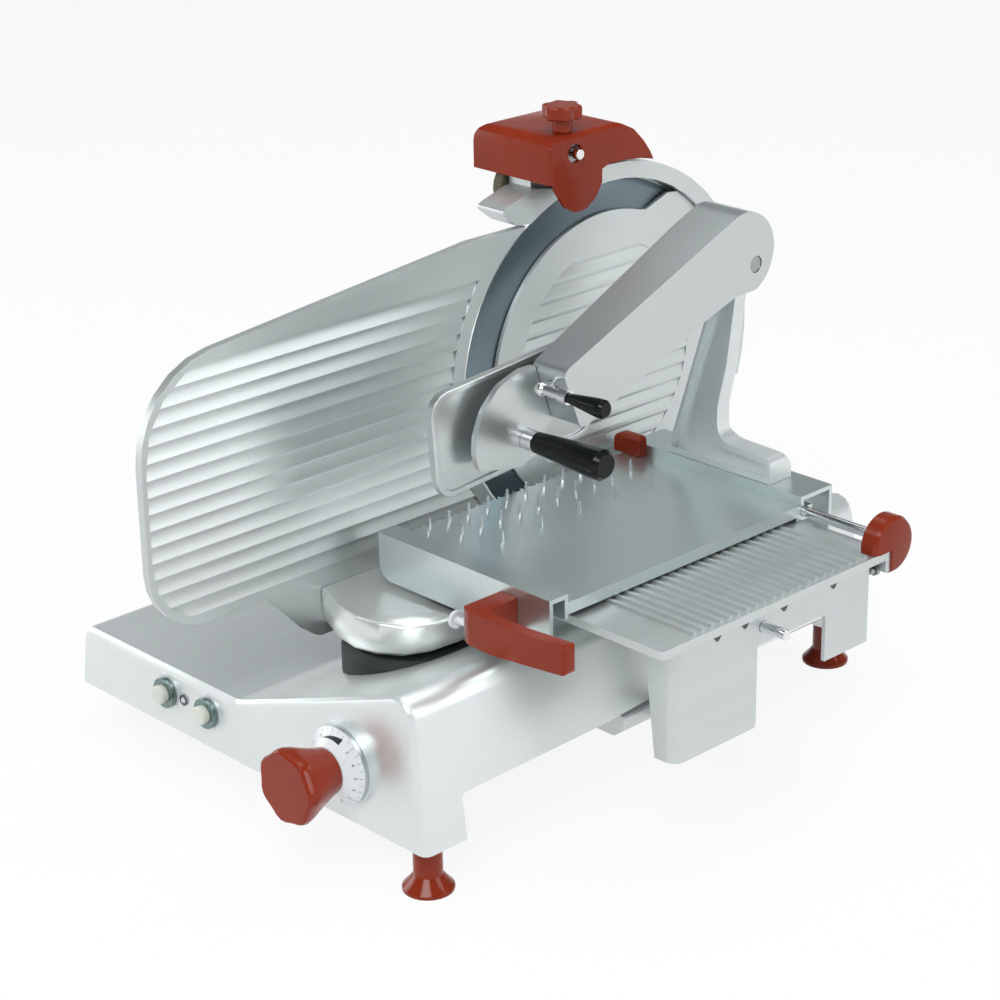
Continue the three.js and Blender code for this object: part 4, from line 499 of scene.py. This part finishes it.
def dial_wedge():
    corners, faces = [], []
    for step in range(WEDGE_STEPS + 1):
        degrees = WEDGE_START - WEDGE_SWEEP * step / WEDGE_STEPS
        width = (WEDGE_THIN_END + WEDGE_GROWTH * step / WEDGE_STEPS) * MM
        corners.append(on_dial(WEDGE_RADIUS, degrees)[0])
        corners.append(on_dial(WEDGE_RADIUS + width, degrees)[0])
    for step in range(WEDGE_STEPS):
        first = 2 * step
        faces.append((first, first + 1, first + 3, first + 2))
    add_piece("dial_wedge", corners, faces, INK, "dial")


def dial_numbers():
    for number in range(NUMBER_COUNT):
        degrees = SCALE_START - number * SCALE_SWEEP / (NUMBER_COUNT - 1)
        curve = bpy.data.curves.new(f"number_{number}", "FONT")
        curve.body = str(number)
        curve.size = NUMBER_SIZE
        curve.align_x = "CENTER"
        curve.align_y = "CENTER"
        text = link_object(f"number_{number}", curve)
        bpy.context.view_layer.update()
        evaluated = text.evaluated_get(bpy.context.evaluated_depsgraph_get())
        data = bpy.data.meshes.new_from_object(evaluated)
        bpy.data.objects.remove(text)
        place, up_slope, normal = on_dial(NUMBER_RADIUS, degrees)
        across = up_slope.cross(normal)
        turn = Matrix((across, up_slope, normal)).transposed().to_4x4()
        data.transform(Matrix.Translation(place) @ turn)
        data.materials.clear()
        place_piece(f"dial_number_{number}", data, INK, "dial")


dial_ticks()
dial_wedge()
dial_numbers()


# Small parts: painted shade for the pockets under the carriage plate's edge, the nut on its rear
# flange and the ring round the pilot lamp.
APRON_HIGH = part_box("carriage_casting")[1]
POCKET_FACE = APRON_HIGH.x - 8.8 * MM
POCKET_PLACES = (-31.0 * MM, 4.2 * MM, 55.0 * MM, 121.2 * MM)
POCKET_TOP, POCKET_BOTTOM = 211.4 * MM, 205.4 * MM
POCKET_HALF_TOP, POCKET_FOOT_REAR, POCKET_FOOT_FRONT = 6.5 * MM, 1.5 * MM, 1 * MM
NUT_PLACE = Vector((APRON_HIGH.x - 11 * MM, APRON_HIGH.y - 6 * MM, 204.2 * MM))
NUT_RADIUS, NUT_DEPTH, NUT_MIDDLE = 5.4 * MM, 3.6 * MM, 1.8 * MM
SCREW_RADIUS, SCREW_DEPTH, SCREW_MIDDLE, SCREW_END = 3.1 * MM, 3.4 * MM, 5.2 * MM, 6.9 * MM
ROUND_SEGMENTS, END_RINGS = 24, 12
SMALL_FACE = 4 * MM * MM
LAMP_REACH = 2 * MM
LAMP_RING_INNER, LAMP_RING_OUTER, LAMP_RING_DEPTH = 3.6 * MM, 5.2 * MM, 0.7 * MM
LAMP_RING_STEPS = 32


def edge_pocket(index, y):
    """Painted shade: a flat dark three-cornered sheet on the apron's face, standing for a hollow
    close under the edge of the ribbed plate.
    """
    corners = [
        (POCKET_FACE, y - POCKET_HALF_TOP, POCKET_TOP),
        (POCKET_FACE, y + POCKET_HALF_TOP, POCKET_TOP),
        (POCKET_FACE, y + POCKET_FOOT_REAR, POCKET_BOTTOM),
        (POCKET_FACE, y - POCKET_FOOT_FRONT, POCKET_BOTTOM),
    ]
    add_piece(f"edge_pocket_{index}", corners, [(3, 2, 1, 0)], DARK_METAL_AND_PAINTED_SHADE, "carriage")


def flange_nut():
    """A hexagon nut and the rounded end of its screw, on the inner face of the rear flange."""
    mesh = bmesh.new()
    upright = Matrix.Rotation(math.radians(90), 4, "X")

    def forward(distance):
        return Matrix.Translation(NUT_PLACE - Vector((0, distance, 0)))

    def by_corners(side):
        low, middle, high = sorted(corner.index for corner in side.verts)[:3]
        return (low * len(mesh.verts) + middle) * len(mesh.verts) + high

    bmesh.ops.create_cone(mesh, cap_ends=True, segments=6, radius1=NUT_RADIUS,
                          radius2=NUT_RADIUS, depth=NUT_DEPTH,
                          matrix=forward(NUT_MIDDLE) @ upright)
    bmesh.ops.create_cone(mesh, cap_ends=True, segments=ROUND_SEGMENTS, radius1=SCREW_RADIUS,
                          radius2=SCREW_RADIUS, depth=SCREW_DEPTH,
                          matrix=forward(SCREW_MIDDLE) @ upright)
    bmesh.ops.create_uvsphere(mesh, u_segments=ROUND_SEGMENTS, v_segments=END_RINGS,
                              radius=SCREW_RADIUS, matrix=forward(SCREW_END))
    # The sphere's faces come in another order each run, so all are put in one that stays.
    mesh.verts.index_update()
    mesh.faces.sort(key=by_corners)
    for side in mesh.faces:
        side.smooth = side.calc_area() < SMALL_FACE
    data = bpy.data.meshes.new("flange_nut")
    mesh.to_mesh(data)
    mesh.free()
    place_piece("flange_nut", data, DARK_STEEL_AND_PAINTED_SHADE, "carriage")


def lamp_ring():
    """A thin dark ring round the pilot lamp, flat on the front face of the base."""
    low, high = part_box("pilot_lamp")
    x, z = (low.x + high.x) / 2, (low.z + high.z) / 2
    face = low.y + LAMP_REACH
    front = face - LAMP_RING_DEPTH
    section = ((LAMP_RING_INNER, face), (LAMP_RING_OUTER, face),
               (LAMP_RING_OUTER, front), (LAMP_RING_INNER, front))
    count = len(section)
    corners, faces = [], []
    for step in range(LAMP_RING_STEPS):
        turn = 2 * math.pi * step / LAMP_RING_STEPS
        corners += [(x + radius * math.cos(turn), y, z + radius * math.sin(turn))
                    for radius, y in section]
        here, there = count * step, count * ((step + 1) % LAMP_RING_STEPS)
        faces += [(there + side, there + (side + 1) % count, here + (side + 1) % count,
                   here + side) for side in range(count)]
    add_piece("lamp_ring", corners, faces, DARK_METAL_AND_PAINTED_SHADE, "base")


# Painted shade: four flat dark sheets on the apron, close under the carriage plate's edge.
for pocket, pocket_y in enumerate(POCKET_PLACES):
    edge_pocket(pocket, pocket_y)
flange_nut()
lamp_ring()


# Studio: camera, floor, lamps and world. The focal length is in pixels of the 1000 pixel frame.
CAMERA_PLACE = Vector((1631.27, -1546.44, 1151.12)) * MM
AZIMUTH, ELEVATION, ROLL = (math.radians(angle) for angle in (46.6, 22.0, -1.0))
SENSOR_WIDTH = 36.0
FOCAL_PIXELS, FRAME_PIXELS = 2640.0, 1000.0
FAR_CLIP = 50.0
FLOOR_REACH = 30.0
FLOOR_GLOW_SHARE = 0.9


def add_camera():
    camera = bpy.data.cameras.new("camera")
    camera.sensor_width = SENSOR_WIDTH
    camera.lens = SENSOR_WIDTH * FOCAL_PIXELS / FRAME_PIXELS
    camera.clip_end = FAR_CLIP
    back = Vector((
        math.sin(AZIMUTH) * math.cos(ELEVATION),
        -math.cos(AZIMUTH) * math.cos(ELEVATION),
        math.sin(ELEVATION),
    ))
    right = Vector((math.cos(AZIMUTH), math.sin(AZIMUTH), 0.0))
    up = back.cross(right)
    turned_right = right * math.cos(ROLL) + up * math.sin(ROLL)
    turned_up = up * math.cos(ROLL) - right * math.sin(ROLL)
    turn = Matrix((turned_right, turned_up, back)).transposed()
    obj = link_object("camera", camera)
    obj.matrix_world = Matrix.Translation(CAMERA_PLACE) @ turn.to_4x4()
    bpy.context.scene.camera = obj


def add_floor():
    """A pale floor that glows for what looks at it and still takes the object's shadow."""
    data = bpy.data.meshes.new("floor")
    signs = ((-1, -1), (1, -1), (1, 1), (-1, 1))
    corners = [(x * FLOOR_REACH, y * FLOOR_REACH, 0) for x, y in signs]
    data.from_pydata(corners, [], [(0, 1, 2, 3)])
    floor = link_object("floor", data)
    material, tree, shader = new_material("floor_white", (0.86, 0.86, 0.86), 0.0, 0.9)
    glow = tree.nodes.new("ShaderNodeEmission")
    glow.inputs["Color"].default_value = (1.0, 1.0, 1.0, 1.0)
    glow.inputs["Strength"].default_value = 1.0
    path = tree.nodes.new("ShaderNodeLightPath")
    straight = tree.nodes.new("ShaderNodeMath")
    straight.operation = "MAXIMUM"
    through = tree.nodes.new("ShaderNodeMath")
    through.operation = "MAXIMUM"
    share = tree.nodes.new("ShaderNodeMath")
    share.operation = "MULTIPLY"
    share.inputs[1].default_value = FLOOR_GLOW_SHARE
    mix = tree.nodes.new("ShaderNodeMixShader")
    output = tree.nodes["Material Output"]
    tree.links.new(path.outputs["Is Camera Ray"], straight.inputs[0])
    tree.links.new(path.outputs["Is Glossy Ray"], straight.inputs[1])
    tree.links.new(straight.outputs["Value"], through.inputs[0])
    tree.links.new(path.outputs["Is Transmission Ray"], through.inputs[1])
    tree.links.new(through.outputs["Value"], share.inputs[0])
    tree.links.new(share.outputs["Value"], mix.inputs["Fac"])
    tree.links.new(shader.outputs["BSDF"], mix.inputs[1])
    tree.links.new(glow.outputs["Emission"], mix.inputs[2])
    tree.links.new(mix.outputs["Shader"], output.inputs["Surface"])
    data.materials.append(material)


# Height on the ramp (0 is level, 1 is overhead) and tone: a pale skyline over the floor, a
# darker wall above it and a soft ceiling.
SKY_TONES = (
    (0.0, (0.85, 0.85, 0.85)),
    (0.08, (0.85, 0.85, 0.85)),
    (0.2, (0.24, 0.26, 0.265)),
    (0.45, (0.27, 0.29, 0.295)),
    (0.7, (0.11, 0.125, 0.13)),
    (1.0, (0.36, 0.37, 0.37)),
)


def add_world():
    world = bpy.data.worlds.new("studio")
    bpy.context.scene.world = world
    world.use_nodes = True
    tree = world.node_tree
    background = tree.nodes["Background"]
    place = tree.nodes.new("ShaderNodeTexCoord")
    split = tree.nodes.new("ShaderNodeSeparateXYZ")
    ramp = tree.nodes.new("ShaderNodeValToRGB")
    stops = ramp.color_ramp.elements
    while len(stops) < len(SKY_TONES):
        stops.new(0.5)
    for stop, (height, tone) in zip(stops, SKY_TONES):
        stop.position = height
        stop.color = (*tone, 1.0)
    tree.links.new(place.outputs["Generated"], split.inputs["Vector"])
    tree.links.new(split.outputs["Z"], ramp.inputs["Fac"])
    tree.links.new(ramp.outputs["Color"], background.inputs["Color"])


# Name, place, target, width and height in metres, and power in watts.
LAMPS = (
    ("key", (1.2, -2.0, 2.6), (0, 0, 0.2), (1.8, 1.2), 62),
    ("fill_left", (-2.6, -1.3, 0.75), (0, 0, 0.25), (1.6, 1.2), 26),
    ("rim_right", (2.6, 1.2, 1.4), (0, 0, 0.25), (1.2, 1.6), 24),
    ("top", (-0.2, 0.6, 3.0), (0, 0.1, 0.2), (2.4, 2.4), 40),
)


def add_lamp(name, place, target, size, watts):
    lamp = bpy.data.lights.new(name, "AREA")
    lamp.shape = "RECTANGLE"
    lamp.size, lamp.size_y = size
    lamp.energy = watts
    obj = link_object(name, lamp)
    obj.location = place
    aim = Vector(target) - Vector(place)
    obj.rotation_euler = aim.to_track_quat("-Z", "Y").to_euler()


add_camera()
add_floor()
add_world()
for lamp_row in LAMPS:
    add_lamp(*lamp_row)

bpy.context.scene.view_settings.view_transform = "Standard"
